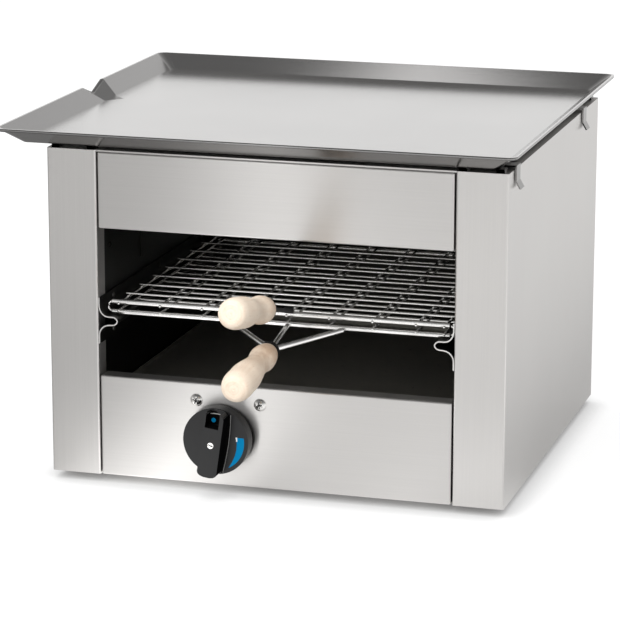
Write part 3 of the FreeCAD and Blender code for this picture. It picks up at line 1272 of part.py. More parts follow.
def burner_hangers():
    """Two bars that hang the burner from the top cover."""
    bars = []
    for x in ("burner_left + hanger_inset", "burner_left + burner_width - hanger_inset - hanger_width"):
        low = point(x, "burner_front + hanger_margin", "burner_top")
        bars.append(box(low, low + point("hanger_width", "burner_depth - 2 * hanger_margin", "hanger_drop")))
    keep_shape("burner_hangers", Part.makeCompound(bars))


def thermocouple():
    """The flame probe and its lead, up behind the cavity and in under the tiles."""
    path = bent_path([point("probe_x", "2 * shell + valve_depth", "probe_low"),
                      point("probe_x", "probe_back", "probe_low"),
                      point("probe_x", "probe_back", "probe_high"),
                      point("probe_x", "probe_front + probe_tip_length / 2", "probe_high")], size("pipe_bend"))
    tip = rod(point("probe_x", "probe_front", "probe_high"),
              point("probe_x", "probe_front + probe_tip_length", "probe_high"), size("probe_tip"))
    keep_shape("thermocouple", one_solid([piped(path, size("probe_lead")), tip]))


# The toaster

side_panel("left_side_panel", False)
side_panel("right_side_panel", True)
back_panel()
base_plate()
top_cover()
front_panel("upper_front_panel", "upper_panel_bottom", "cabinet_height - shell")
lower_front_panel()
feet()
rear_screws()
side_lining("left_lining", False)
side_lining("right_lining", True)
back_lining()
cavity_floor()
crumb_tray()
runner_rail("left_runner_rail", False)
runner_rail("right_runner_rail", True)
rail_rivets()
lining_trim()
warming_tray()
tray_clips()
tray_supports()
rack_grid("lower_grid", "lower_rod_height", -1, "lower_first_cross", "lower_cross_count")
rack_grid("upper_grid", "lower_rod_height + grid_gap", 1, "first_cross_wire", "cross_wire_count")
hinge_eyes()
lid_hooks()
lower_handle_frame()
ferrule("lower_ferrule", "lower_handle_y", "lower_handle_z", "lower_handle_tilt")
wooden_handle("lower_wooden_handle", "lower_handle_y", "lower_handle_z", "lower_handle_tilt", 1)
upper_handle_shank()
ferrule("upper_ferrule", "upper_handle_y", "upper_handle_z", "-upper_handle_tilt")
wooden_handle("upper_wooden_handle", "upper_handle_y", "upper_handle_z", "upper_handle_tilt", -1)
control_knob()
knob_screw()
valve_spindle()
valve_plunger()
gas_valve_body()
valve_bracket()
front_screws()
inlet_pipe()
gas_inlet()
supply_pipe()
gas_injector()
mixing_tube()
burner_housing()
tile_frame()
ceramic_tiles()
burner_hangers()
thermocouple()
doc.recompute()

# Nothing is written unless every object is sound

for thing in doc.Objects:
    if "Invalid" in thing.State or "Error" in thing.State:
        raise RuntimeError(f"{thing.Label} is {thing.State}")
for thing in sub_parts:
    if thing.Shape.isNull() or not thing.Shape.isValid() or not thing.Shape.Solids:
        raise RuntimeError(f"{thing.Label} has no sound shape")

os.makedirs("parts", exist_ok=True)
for thing in sub_parts:
    thing.Shape.exportStep(f"parts/{thing.Label}.step")
print(f"{len(sub_parts)} sub-parts written")
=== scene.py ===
import math

import bmesh
import bpy
from mathutils import Matrix, Vector


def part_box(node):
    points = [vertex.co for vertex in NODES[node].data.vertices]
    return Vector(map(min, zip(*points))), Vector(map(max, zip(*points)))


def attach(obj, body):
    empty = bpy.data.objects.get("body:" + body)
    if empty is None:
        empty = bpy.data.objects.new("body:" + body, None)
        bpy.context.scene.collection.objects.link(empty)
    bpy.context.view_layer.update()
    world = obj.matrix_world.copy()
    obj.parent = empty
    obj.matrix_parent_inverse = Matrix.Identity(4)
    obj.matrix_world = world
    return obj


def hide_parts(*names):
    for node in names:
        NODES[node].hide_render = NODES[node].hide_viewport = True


bl_info = {
    "name": "Gas Sandwich Toaster",
    "version": (1, 0, 0),
    "blender": (4, 5, 0),
    "location": "3D View > Sidebar > Toaster",
    "description": "Finishes for a countertop gas sandwich toaster, built round its fixed frame",
    "category": "Object",
}

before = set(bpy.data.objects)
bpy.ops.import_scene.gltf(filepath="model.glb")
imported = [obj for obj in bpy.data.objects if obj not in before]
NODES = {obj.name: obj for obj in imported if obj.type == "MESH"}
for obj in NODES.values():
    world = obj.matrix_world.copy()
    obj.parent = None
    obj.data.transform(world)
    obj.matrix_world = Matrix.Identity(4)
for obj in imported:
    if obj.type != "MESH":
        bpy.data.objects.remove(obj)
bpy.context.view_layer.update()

# The cabinet's front lower left corner, in metres, and its width in millimetres
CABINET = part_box("left_side_panel")[0]
CABINET_WIDTH = 450.0


def spot(x, y, z):
    """A point given from the cabinet's front lower left corner, in millimetres."""
    return CABINET + Vector((x, y, z)) / 1000.0


# Sizes and colours

class ToasterSteel(bpy.types.PropertyGroup):
    """The sheet steel's colours and finish."""
    shell: bpy.props.FloatVectorProperty(
        name="Shell", description="Colour of the cabinet's outer sheets", subtype="COLOR",
        size=3, min=0.0, max=1.0, default=(0.57, 0.557, 0.542))
    lining: bpy.props.FloatVectorProperty(
        name="Lining", description="Colour of the cavity's sheets", subtype="COLOR",
        size=3, min=0.0, max=1.0, default=(0.022, 0.0215, 0.020))
    tray: bpy.props.FloatVectorProperty(
        name="Tray", description="Colour of the warming tray", subtype="COLOR",
        size=3, min=0.0, max=1.0, default=(0.61, 0.60, 0.59))
    shell_gloss: bpy.props.FloatProperty(
        name="Shell roughness", description="How matte the outer sheets are", subtype="FACTOR",
        min=0.05, max=1.0, default=0.3)
    edge: bpy.props.FloatProperty(
        name="Sheet edge", description="Rounding of the sheets' cut edges", subtype="DISTANCE",
        unit="LENGTH", min=0.0, max=0.002, default=0.0004)


class ToasterWood(bpy.types.PropertyGroup):
    """The wooden handles."""
    pale: bpy.props.FloatVectorProperty(
        name="Pale wood", description="Colour of the early wood", subtype="COLOR",
        size=3, min=0.0, max=1.0, default=(0.86, 0.74, 0.61))
    dark: bpy.props.FloatVectorProperty(
        name="Grain", description="Colour of the grain lines", subtype="COLOR",
        size=3, min=0.0, max=1.0, default=(0.66, 0.45, 0.30))


class ToasterKnob(bpy.types.PropertyGroup):
    """The gas control knob."""
    black: bpy.props.FloatVectorProperty(
        name="Plastic", description="Colour of the knob", subtype="COLOR",
        size=3, min=0.0, max=1.0, default=(0.010, 0.010, 0.0105))
    blue: bpy.props.FloatVectorProperty(
        name="Mark", description="Colour of the flame mark", subtype="COLOR",
        size=3, min=0.0, max=1.0, default=(0.0, 0.195, 0.42))
    rounding: bpy.props.FloatProperty(
        name="Rounding", description="Rounding of the knob's moulded edges", subtype="DISTANCE",
        unit="LENGTH", min=0.0, max=0.003, default=0.0009)


class ToasterStage(bpy.types.PropertyGroup):
    """Camera and light."""
    lens: bpy.props.FloatProperty(
        name="Lens", description="Focal length of the camera", subtype="DISTANCE_CAMERA",
        min=20.0, max=400.0, default=173.95)
    sky: bpy.props.FloatProperty(
        name="Surroundings", description="Strength of the light from all round", min=0.0, max=3.0,
        default=1.05)
    zenith: bpy.props.FloatProperty(
        name="Overhead", description="Strength of the surroundings straight overhead, as metal shows them",
        min=0.0, max=3.0, default=0.1)
    backdrop: bpy.props.FloatProperty(
        name="Backdrop", description="How much whiter the floor shows than its own shade", min=0.0, max=1.0,
        default=0.66)
    key: bpy.props.FloatProperty(
        name="Key light", description="Power of the large light over the front", subtype="POWER",
        unit="POWER", min=0.0, max=500.0, default=29.0)


def settings():
    """The scene's sizes and colours."""
    return bpy.context.scene.toaster


# Helpers for node trees

def new_material(name):
    """An empty material with its shader."""
    material = bpy.data.materials.new(name)
    material.use_nodes = True
    return material, material.node_tree, material.node_tree.nodes["Principled BSDF"]


def add(tree, kind, inputs=None, **options):
    """One node, with its options, and its inputs set or linked."""
    node = tree.nodes.new(kind)
    for name, value in options.items():
        setattr(node, name, value)
    for name, value in (inputs or {}).items():
        if isinstance(value, bpy.types.NodeSocket):
            tree.links.new(value, node.inputs[name])
        else:
            node.inputs[name].default_value = value
    return node


def noise(tree, vector, scale, detail=2.0, roughness=0.5):
    """Cloudy noise from nought to one."""
    return add(tree, "ShaderNodeTexNoise", {"Vector": vector, "Scale": scale, "Detail": detail,
                                            "Roughness": roughness}).outputs["Fac"]


def stretch(tree, vector, scale, move=(0.0, 0.0, 0.0)):
    """A place multiplied by a scale and moved."""
    return add(tree, "ShaderNodeMapping", {"Vector": vector, "Scale": scale, "Location": move}).outputs["Vector"]


def ranged(tree, value, low, high, start=0.0, end=1.0):
    """A value brought from start and end to low and high."""
    return add(tree, "ShaderNodeMapRange", {"Value": value, "From Min": start, "From Max": end,
                                            "To Min": low, "To Max": high}).outputs["Result"]


def blended(tree, share, one, two, mode="MIX"):
    """Two colours mixed, each a colour or a socket."""
    node = add(tree, "ShaderNodeMix", data_type="RGBA", blend_type=mode)
    for name, value in (("Factor", share), ("A", one), ("B", two)):
        socket = next(s for s in node.inputs if s.name == name and (
            s.type == "VALUE" if name == "Factor" else s.type == "RGBA"))
        if isinstance(value, bpy.types.NodeSocket):
            tree.links.new(value, socket)
        else:
            socket.default_value = value if name == "Factor" else (*value, 1.0)[:4]
    return next(s for s in node.outputs if s.type == "RGBA")


def math_of(tree, operation, one, two=0.0):
    """The result of one sum, each side a number or a socket."""
    node = add(tree, "ShaderNodeMath", operation=operation)
    for socket, value in zip(node.inputs, (one, two)):
        if isinstance(value, bpy.types.NodeSocket):
            tree.links.new(value, socket)
        else:
            socket.default_value = value
    return node.outputs["Value"]


def object_place(tree):
    """The place on the object."""
    return add(tree, "ShaderNodeTexCoord").outputs["Object"]


def from_axis(tree, off):
    """The distance from the Y axis, from the parts of a place."""
    squares = [math_of(tree, "POWER", off.outputs[part], 2.0) for part in ("X", "Z")]
    return math_of(tree, "SQRT", math_of(tree, "ADD", *squares))


def relief(tree, shader, height, strength, distance):
    """Raises a shader's surface by a height."""
    bump = add(tree, "ShaderNodeBump", {"Height": height, "Strength": strength, "Distance": distance})
    tree.links.new(bump.outputs["Normal"], shader.inputs["Normal"])


def shade(colour, factor):
    """A colour made lighter or darker."""
    return tuple(min(1.0, channel * factor) for channel in colour)


# Finishes

def across_grain(tree, shader, grain, amount):
    """Spreads a shader's highlights across the rolling direction, as fine brushed lines do."""
    world = add(tree, "ShaderNodeVectorTransform", {"Vector": grain}, vector_type="VECTOR",
                convert_from="OBJECT", convert_to="WORLD").outputs["Vector"]
    normal = add(tree, "ShaderNodeNewGeometry").outputs["Normal"]
    cross = add(tree, "ShaderNodeVectorMath", operation="CROSS_PRODUCT")
    tree.links.new(normal, cross.inputs[0])
    tree.links.new(world, cross.inputs[1])
    tree.links.new(cross.outputs["Vector"], shader.inputs["Tangent"])
    shader.inputs["Anisotropic"].default_value = amount


def sheet_steel(name, colour, roughness, grain, brushed=0.85, painted_underside_shade=1.0):
    """Satin stainless sheet: fine lines along the rolling direction, faint clouds, and painted shade that darkens faces
    turned downward.
    """
    material, tree, shader = new_material(name)
    place = object_place(tree)
    fine = tuple(8.0 if part else 800.0 for part in grain)
    lines = noise(tree, stretch(tree, place, fine), 1.0, detail=3.0, roughness=0.65)
    clouds = noise(tree, place, 7.0, detail=3.0)
    tone = blended(tree, lines, shade(colour, 0.95), shade(colour, 1.05))
    tone = blended(tree, ranged(tree, clouds, 0.0, 0.6, 0.35, 0.7), tone,
                   blended(tree, 1.0, tone, (0.965, 0.965, 0.97), "MULTIPLY"))
    # Painted shade: faces turned downward get their colour multiplied by a darker grey.
    if painted_underside_shade < 1.0:
        level = add(tree, "ShaderNodeSeparateXYZ", {"Vector": add(tree, "ShaderNodeNewGeometry").outputs["Normal"]})
        tone = blended(tree, ranged(tree, level.outputs["Z"], 1.0, 0.0, -0.3, -0.05), tone,
                       blended(tree, 1.0, tone, (painted_underside_shade,) * 3, "MULTIPLY"))
    tree.links.new(tone, shader.inputs["Base Color"])
    matte = math_of(tree, "ADD", ranged(tree, lines, roughness - 0.03, roughness + 0.03),
                    ranged(tree, clouds, -0.02, 0.02))
    tree.links.new(matte, shader.inputs["Roughness"])
    shader.inputs["Metallic"].default_value = 1.0
    across_grain(tree, shader, grain, brushed)
    relief(tree, shader, math_of(tree, "MULTIPLY", lines, 0.012), 0.6, 0.0012)
    return material


def dark_sheet(name, colour, roughness):
    """Lining sheet: dull with heat, with blue-brown clouds and small specks of burnt crumb."""
    material, tree, shader = new_material(name)
    place = object_place(tree)
    clouds = noise(tree, place, 6.0, detail=4.0, roughness=0.6)
    lines = noise(tree, stretch(tree, place, (14.0, 900.0, 900.0)), 1.0, detail=2.0)
    specks = noise(tree, place, 160.0, detail=2.0, roughness=0.7)
    tone = blended(tree, clouds, shade(colour, 0.82), shade((colour[0], colour[1] * 0.99, colour[2] * 0.96), 1.15))
    tone = blended(tree, ranged(tree, specks, 0.0, 0.6, 0.68, 0.75), tone, shade(colour, 0.35))
    tree.links.new(tone, shader.inputs["Base Color"])
    tree.links.new(math_of(tree, "ADD", ranged(tree, clouds, roughness - 0.06, roughness + 0.08),
                           ranged(tree, lines, -0.03, 0.03)), shader.inputs["Roughness"])
    shader.inputs["Metallic"].default_value = 1.0
    relief(tree, shader, lines, 0.2, 0.00008)
    return material


def plated_wire(name, colour, roughness):
    """Bright plated wire with faint drawing marks and dull spots by the welds."""
    material, tree, shader = new_material(name)
    place = object_place(tree)
    fine = noise(tree, place, 420.0, detail=2.0)
    clouds = noise(tree, place, 45.0, detail=3.0)
    tone = blended(tree, ranged(tree, clouds, 0.0, 1.0, 0.35, 0.7), colour, shade(colour, 0.8))
    tree.links.new(tone, shader.inputs["Base Color"])
    tree.links.new(math_of(tree, "ADD", ranged(tree, clouds, roughness, roughness + 0.12),
                           ranged(tree, fine, -0.03, 0.03)), shader.inputs["Roughness"])
    shader.inputs["Metallic"].default_value = 1.0
    relief(tree, shader, fine, 0.15, 0.0001)
    return material


def cast_finish(name, colour, roughness, metallic, grain=900.0, depth=0.00005, variation=0.12):
    """A fine-grained surface: moulded plastic, paint, rubber, ceramic or turned brass."""
    material, tree, shader = new_material(name)
    place = object_place(tree)
    grains = noise(tree, place, grain, detail=2.0)
    clouds = noise(tree, place, 25.0, detail=3.0)
    tone = blended(tree, clouds, shade(colour, 1.0 - variation), shade(colour, 1.0 + variation))
    tree.links.new(tone, shader.inputs["Base Color"])
    tree.links.new(ranged(tree, clouds, max(0.03, roughness - 0.05), roughness + 0.05), shader.inputs["Roughness"])
    shader.inputs["Metallic"].default_value = metallic
    relief(tree, shader, grains, 0.4, depth)
    return material


# Where the knob's polished rim begins and is full, as distances from its axis in metres; side walls nearer the axis get
# the painted black shade
RIM = (0.0298, 0.0308)


def moulded_plastic(name, colour, roughness, axis):
    """Black plastic: finely textured faces and a polished rim; side walls darkened by painted shade, and the flanks and
    hollows inside the rim painted black without gloss, as shade.
    """
    material = cast_finish(name, colour, roughness, 0.0, grain=1400.0)
    tree = material.node_tree
    shader = tree.nodes["Principled BSDF"]
    coordinates = add(tree, "ShaderNodeTexCoord")
    facing = add(tree, "ShaderNodeSeparateXYZ", {"Vector": coordinates.outputs["Normal"]}).outputs["Y"]
    # Painted shade: every side wall's colour is multiplied down to 0.35 of the faces'.
    painted_wall_shade = ranged(tree, math_of(tree, "ABSOLUTE", facing), 1.0, 0.0, 0.45, 0.75)
    off = add(tree, "ShaderNodeSeparateXYZ", {"Vector": stretch(
        tree, coordinates.outputs["Object"], (1.0, 1.0, 1.0), move=tuple(-part for part in axis))})
    # Painted shade: inside the rim the walls are the grip's flanks, drawn without gloss so that they read black.
    painted_flank_shade = math_of(tree, "MULTIPLY", painted_wall_shade, ranged(tree, from_axis(tree, off), 1.0, 0.0, *RIM))
    rim = math_of(tree, "SUBTRACT", painted_wall_shade, painted_flank_shade)
    level = math_of(tree, "MULTIPLY", ranged(tree, painted_flank_shade, 0.3, 0.0), ranged(tree, rim, 1.0, 0.6))
    tree.links.new(level, shader.inputs["Specular IOR Level"])
    matte, tone = [next(link.from_socket for link in tree.links if link.to_socket == shader.inputs[socket])
                   for socket in ("Roughness", "Base Color")]
    tree.links.new(math_of(tree, "MULTIPLY", matte, ranged(tree, rim, 1.0, 0.6)), shader.inputs["Roughness"])
    tree.links.new(blended(tree, 1.0, tone, ranged(tree, painted_wall_shade, 1.0, 0.35), "MULTIPLY"), shader.inputs["Base Color"])
    return material


def turned_wood(name, pale, dark, pivot, tilt, mottle):
    """Pale close-grained wood: long soft grain, fine pores, and growth rings about the handle's own axis."""
    material, tree, shader = new_material(name)
    along = add(tree, "ShaderNodeMapping", {"Vector": object_place(tree), "Location": pivot,
                                            "Rotation": (tilt, 0.0, 0.0)}, vector_type="TEXTURE").outputs["Vector"]
    wander = noise(tree, stretch(tree, along, (40.0, 6.0, 40.0)), 1.0, detail=1.0)
    off = add(tree, "ShaderNodeSeparateXYZ", {"Vector": along})
    turn = math_of(tree, "ADD", math_of(tree, "MULTIPLY", from_axis(tree, off), 2400.0),
                   math_of(tree, "MULTIPLY", wander, 5.0))
    rings = math_of(tree, "MULTIPLY", math_of(tree, "ADD", math_of(tree, "SINE", turn), 1.0), 0.5)
    grain = noise(tree, stretch(tree, along, (240.0, 16.0, 240.0)), 1.0, detail=3.0, roughness=0.6)
    pores = noise(tree, stretch(tree, along, (1300.0, 140.0, 1300.0)), 1.0, detail=1.0)
    clouds = noise(tree, along, 55.0, detail=3.0, roughness=0.6)
    tone = blended(tree, ranged(tree, rings, 0.0, 0.13), pale, dark)
    tone = blended(tree, ranged(tree, grain, 0.0, 0.3, 0.45, 0.75), tone, dark)
    rear = ranged(tree, off.outputs["Y"], 1.0, 0.15, -0.02, -0.075)
    stain = math_of(tree, "MULTIPLY", ranged(tree, clouds, 0.0, mottle, 0.32, 0.62), rear)
    tone = blended(tree, stain, tone, shade(dark, 0.8))
    tone = blended(tree, ranged(tree, pores, 0.0, 0.6, 0.69, 0.76), tone, shade(dark, 0.55))
    tree.links.new(tone, shader.inputs["Base Color"])
    tree.links.new(ranged(tree, grain, 0.5, 0.68), shader.inputs["Roughness"])
    relief(tree, shader, math_of(tree, "ADD", grain, math_of(tree, "MULTIPLY", pores, 0.5)), 0.3, 0.0002)
    return material


# Helpers for pieces

def dress(material, *names):
    """Gives CAD nodes a finish."""
    for name in names:
        node = NODES[name]
        node.data.materials.clear()
        node.data.materials.append(material)


def soften(width, *names, segments=2, angle=0.5):
    """Rounds the sharp edges of CAD nodes and shades their curves smoothly."""
    for name in names:
        node = NODES[name]
        for face in node.data.polygons:
            face.use_smooth = True
        bevel = node.modifiers.new("edge", "BEVEL")
        bevel.width, bevel.segments = width, segments
        bevel.limit_method, bevel.angle_limit = "ANGLE", angle
        bevel.harden_normals = True
        bevel.use_clamp_overlap = True


def smooth(*names):
    """Shades CAD nodes' curves smoothly and keeps their corners sharp."""
    for name in names:
        data = NODES[name].data
        for face in data.polygons:
            face.use_smooth = True
        data.set_sharp_from_angle(angle=0.6)


def dress_smooth(material, *names):
    """Gives CAD nodes a finish and shades their curves smoothly."""
    dress(material, *names)
    smooth(*names)


def make(name, mesh, material, body):
    """Puts a new mesh in the scene, on its body."""
    piece = bpy.data.objects.new(name, mesh)
    bpy.context.scene.collection.objects.link(piece)
    mesh.materials.append(material)
    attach(piece, body)
    return piece


def mesh_from(name, build, flat=False):
    """A mesh filled in by a function that works on a bmesh."""
    mesh = bpy.data.meshes.new(name)
    work = bmesh.new()
    build(work)
    bmesh.ops.recalc_face_normals(work, faces=work.faces[:])
    for face in work.faces:
        face.smooth = not flat
    work.to_mesh(mesh)
    work.free()
    return mesh


def eased(points, steps):
    """A smooth line through (radius, distance) points."""
    line = []
    for i in range(len(points) - 1):
        before = points[max(i - 1, 0)]
        start, end = points[i], points[i + 1]
        after = points[min(i + 2, len(points) - 1)]
        for step in range(steps):
            t = step / steps
            line.append(tuple(
                0.5 * (2 * b + (c - a) * t + (2 * a - 5 * b + 4 * c - d) * t * t + (3 * b - a - 3 * c + d) * t ** 3)
                for a, b, c, d in zip(before, start, end, after)))
    line.append(points[-1])
    return line


def lathe(work, profile, around=64):
    """Turns a (radius, distance) profile round the local -Y axis; a radius of nought closes an end."""
    rings = []
    for radius, along in profile:
        if radius < 1e-6:
            rings.append([work.verts.new((0.0, -along, 0.0))])
        else:
            rings.append([work.verts.new((radius * math.cos(2 * math.pi * i / around), -along,
                                          radius * math.sin(2 * math.pi * i / around))) for i in range(around)])
    for one, two in zip(rings, rings[1:]):
        for i in range(around):
            j = (i + 1) % around
            corners = [one[i % len(one)], one[j % len(one)], two[j % len(two)], two[i % len(two)]]
            corners = list(dict.fromkeys(corners))
            if len(corners) > 2:
                work.faces.new(corners)


# Operators

class TOASTER_OT_cabinet(bpy.types.Operator):
    """Finish the outer sheets"""
    bl_idname = "toaster.cabinet"
    bl_label = "Cabinet"

    def execute(self, context):
        steel = settings().steel
        upright = sheet_steel("satin steel, upright grain", steel.shell, steel.shell_gloss, (0.0, 0.0, 1.0))
        across = sheet_steel("satin steel, level grain", steel.shell, steel.shell_gloss, (1.0, 0.0, 0.0))
        dress(upright, "left_side_panel", "right_side_panel", "back_panel")
        dress(across, "upper_front_panel", "lower_front_panel", "top_cover", "base_plate", "valve_bracket")
        soften(steel.edge, "upper_front_panel", "lower_front_panel", "top_cover", "base_plate", "back_panel")
        smooth("left_side_panel", "right_side_panel", "valve_bracket")
        return {"FINISHED"}


class TOASTER_OT_cavity(bpy.types.Operator):
    """Finish the cavity, its rails and its crumb tray"""
    bl_idname = "toaster.cavity"
    bl_label = "Cavity"

    def execute(self, context):
        steel = settings().steel
        dark = dark_sheet("heat-dulled lining", steel.lining, 0.36)
        dress(dark, "left_lining", "right_lining", "back_lining")
        dress(dark_sheet("heat-dulled floor", shade(steel.lining, 18.0), 0.55), "cavity_floor", "crumb_tray")
        dress_smooth(sheet_steel("rail strip", shade(steel.shell, 0.4), 0.3, (0.0, 1.0, 0.0)), "rail_rivets")
        dress(dark, "lining_trim")
        smooth("crumb_tray")
        soften(0.0003, "cavity_floor", "left_lining", "right_lining", "back_lining", "lining_trim")
        return {"FINISHED"}


class TOASTER_OT_tray(bpy.types.Operator):
    """Finish the warming tray, its clips and its supports"""
    bl_idname = "toaster.tray"
    bl_label = "Warming tray"

    def execute(self, context):
        steel = settings().steel
        # Painted shade: the tray's downward faces, the lips' outer faces among them, are drawn at 0.38 of its colour.
        sheet = sheet_steel("tray steel", steel.tray, 0.16, (1.0, 0.0, 0.0), brushed=0.4, painted_underside_shade=0.38)
        dress(sheet, "warming_tray")
        # Painted shade: the clips and supports under the tray's rim are drawn at half the shell's colour.
        support = sheet_steel("support steel with painted shade", shade(steel.shell, 0.5), 0.35, (0.0, 1.0, 0.0))
        dress(support, "tray_clips", "tray_supports")
        soften(0.0004, "warming_tray", angle=0.35)
        soften(0.0003, "tray_clips", "tray_supports")
        return {"FINISHED"}


class TOASTER_OT_rack(bpy.types.Operator):
    """Finish the wire rack and its metal handle parts"""
    bl_idname = "toaster.rack"
    bl_label = "Rack"

    def execute(self, context):
        wire = plated_wire("bright plated wire", (0.92, 0.91, 0.89), 0.16)
        dress_smooth(wire, "lower_grid", "upper_grid", "rack_hinge_eyes", "lower_handle_frame")
        black = cast_finish("black handle iron", (0.018, 0.018, 0.019), 0.42, 0.6)
        dress(black, "lower_ferrule", "upper_ferrule", "upper_handle_shank")
        soften(0.0004, "lower_ferrule", "upper_ferrule", "upper_handle_shank")
        return {"FINISHED"}


# A handle's radius and distance from its rack end, in millimetres: its side, then the rings on its end face
HANDLE_PROFILE = ((8.8, 0.3), (10.6, 3.2), (12.6, 10.8), (13.3, 21.6), (11.2, 32.4), (11.2, 45.4), (13.0, 58.3),
                  (14.5, 71.3), (14.5, 84.2), (14.6, 95.0), (13.6, 101.5), (12.4, 104.6), (10.4, 106.6))
HANDLE_END = ((8.0, 107.4), (7.7, 107.25), (7.3, 107.35), (5.2, 107.75), (4.9, 107.6), (4.5, 107.7), (0.9, 107.95),
              (0.6, 107.6), (0.0, 107.5))
# Name, body, place of the rack end, tilt in degrees, how stained, and how much slimmer by the rack in metres
HANDLES = (("lower", "rack", (236.4, -50.0, 149.7), 4.4, 0.85, 0.0014),
           ("upper", "rack_lid", (236.4, -59.0, 192.6), -11.0, 0.3, 0.0))
SLIM_LENGTH = 0.045


class TOASTER_OT_handles(bpy.types.Operator):
    """Turn the two wooden handles"""
    bl_idname = "toaster.handles"
    bl_label = "Wooden handles"

    def execute(self, context):
        wood = settings().wood
        half = [(radius / 1000.0, along / 1000.0) for radius, along in (*eased(HANDLE_PROFILE, 6), *HANDLE_END)]
        for name, body, rack_end, degrees, mottle, slim in HANDLES:
            tilt = math.radians(degrees)
            place = spot(*rack_end)
            shape = [(max(0.0, radius - slim * max(0.0, 1.0 - along / SLIM_LENGTH)), along) for radius, along in half]
            finish = turned_wood(f"{name} handle wood", wood.pale, wood.dark, place, tilt, mottle)
            mesh = mesh_from(name + "_handle", lambda work: lathe(work, [(0.0, 0.0003), *shape]))
            mesh.transform(Matrix.Translation(place) @ Matrix.Rotation(tilt, 4, "X"))
            handle = make(name + "_turned_handle", mesh, finish, body)
            handle.data.set_sharp_from_angle(angle=0.7)
            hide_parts(name + "_wooden_handle")
        return {"FINISHED"}


class TOASTER_OT_control(bpy.types.Operator):
    """Finish the knob, the screws and the gas parts"""
    bl_idname = "toaster.control"
    bl_label = "Gas control"

    def execute(self, context):
        knob = settings().knob
        plastic = moulded_plastic("moulded black plastic", knob.black, 0.36, knob_axis())
        dress(plastic, "control_knob")
        soften(knob.rounding, "control_knob", segments=4)
        polished = plated_wire("polished screws", (0.78, 0.77, 0.75), 0.12)
        dress_smooth(polished, "front_screws", "rear_screws", "knob_screw", "valve_spindle", "valve_plunger")
        brass = cast_finish("turned brass", (0.62, 0.43, 0.17), 0.3, 1.0)
        dress_smooth(brass, "gas_valve_body", "gas_injector", "gas_inlet")
        drawn = cast_finish("drawn tube", (0.6, 0.6, 0.6), 0.35, 1.0)
        dress_smooth(drawn, "inlet_pipe", "supply_pipe", "thermocouple")
        dress_smooth(cast_finish("black rubber", (0.02, 0.02, 0.02), 0.8, 0.0), "feet")
        stained = dark_sheet("heat-stained steel", (0.3, 0.28, 0.25), 0.45)
        dress_smooth(stained, "mixing_tube", "burner_housing", "tile_frame", "burner_hangers")
        ceramic = cast_finish("pale ceramic", (0.62, 0.58, 0.52), 0.85, 0.0, grain=500.0, depth=0.0004)
        dress(ceramic, "ceramic_tiles")
        return {"FINISHED"}


def plate(work, outline, front, thickness):
    """A thin flat plate facing the front, its outline given as (x, z) points in metres."""
    near = [work.verts.new((x, front - thickness, z)) for x, z in outline]
    far = [work.verts.new((x, front, z)) for x, z in outline]
    work.faces.new(near)
    work.faces.new(far[::-1])
    for i in range(len(near)):
        j = (i + 1) % len(near)
        work.faces.new((near[i], near[j], far[j], far[i]))


def on_arc(radius, start, end, steps):
    """(x, z) points round the knob's axis, with angles in degrees from level, upward."""
    angles = [math.radians(start + (end - start) * i / steps) for i in range(steps + 1)]
    return [(radius * math.cos(angle), radius * math.sin(angle)) for angle in angles]


def turned_bar(half_length, half_width, angle):
    """The (x, z) corners of a bar turned about its middle."""
    turn = Matrix.Rotation(angle, 3, "Y")
    corners = [turn @ Vector((x * half_length, 0.0, z * half_width)) for x, z in ((-1, -1), (1, -1), (1, 1), (-1, 1))]
    return [(corner.x, corner.z) for corner in corners]


# Thickness of the knob's disc, in metres
KNOB_DISC = 0.0133


def knob_axis():
    """Where the knob's axis meets the face of its disc."""
    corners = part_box("knob_screw")
    axis = (corners[0] + corners[1]) / 2.0
    axis.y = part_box("control_knob")[1].y - KNOB_DISC
    return axis


# Outlines on the knob's face, as (x, z) from its axis in millimetres
SCALE_INNER = ((20.8, 5.2), (21.2, -1.0), (20.8, -7.0), (19.2, -13.1), (16.5, -19.2), (14.3, -22.9), (12.7, -25.5))
SCALE_START = ((20.1, 5.2), (21.6, 5.6), (21.8, 1.4), (20.7, 1.2))
# The painted shadow at the grip's foot lies between GRIP_FOOT and GRIP_RIDGE.
GRIP_FOOT = ((13.0, 27.6), (11.6, 14.0), (9.3, -3.0), (7.2, -18.0), (5.6, -30.6))
GRIP_RIDGE = ((15.1, 27.0), (14.6, 14.0), (12.6, -3.2), (9.8, -18.0), (6.9, -30.8))
RIDGE_WIDTH = 0.55
WINDOW = ((-7.2, 17.3), (5.1, 17.3), (5.1, 27.5), (2.0, 30.5), (-3.5, 31.2), (-7.2, 30.0))
FLAME_DOT = (-0.9, 21.6)
# How far the window's floor lies in front of the disc, and a front screw's middle from its edge, in metres
WINDOW_RISE = 0.0025
SCREW_RADIUS = 0.0062


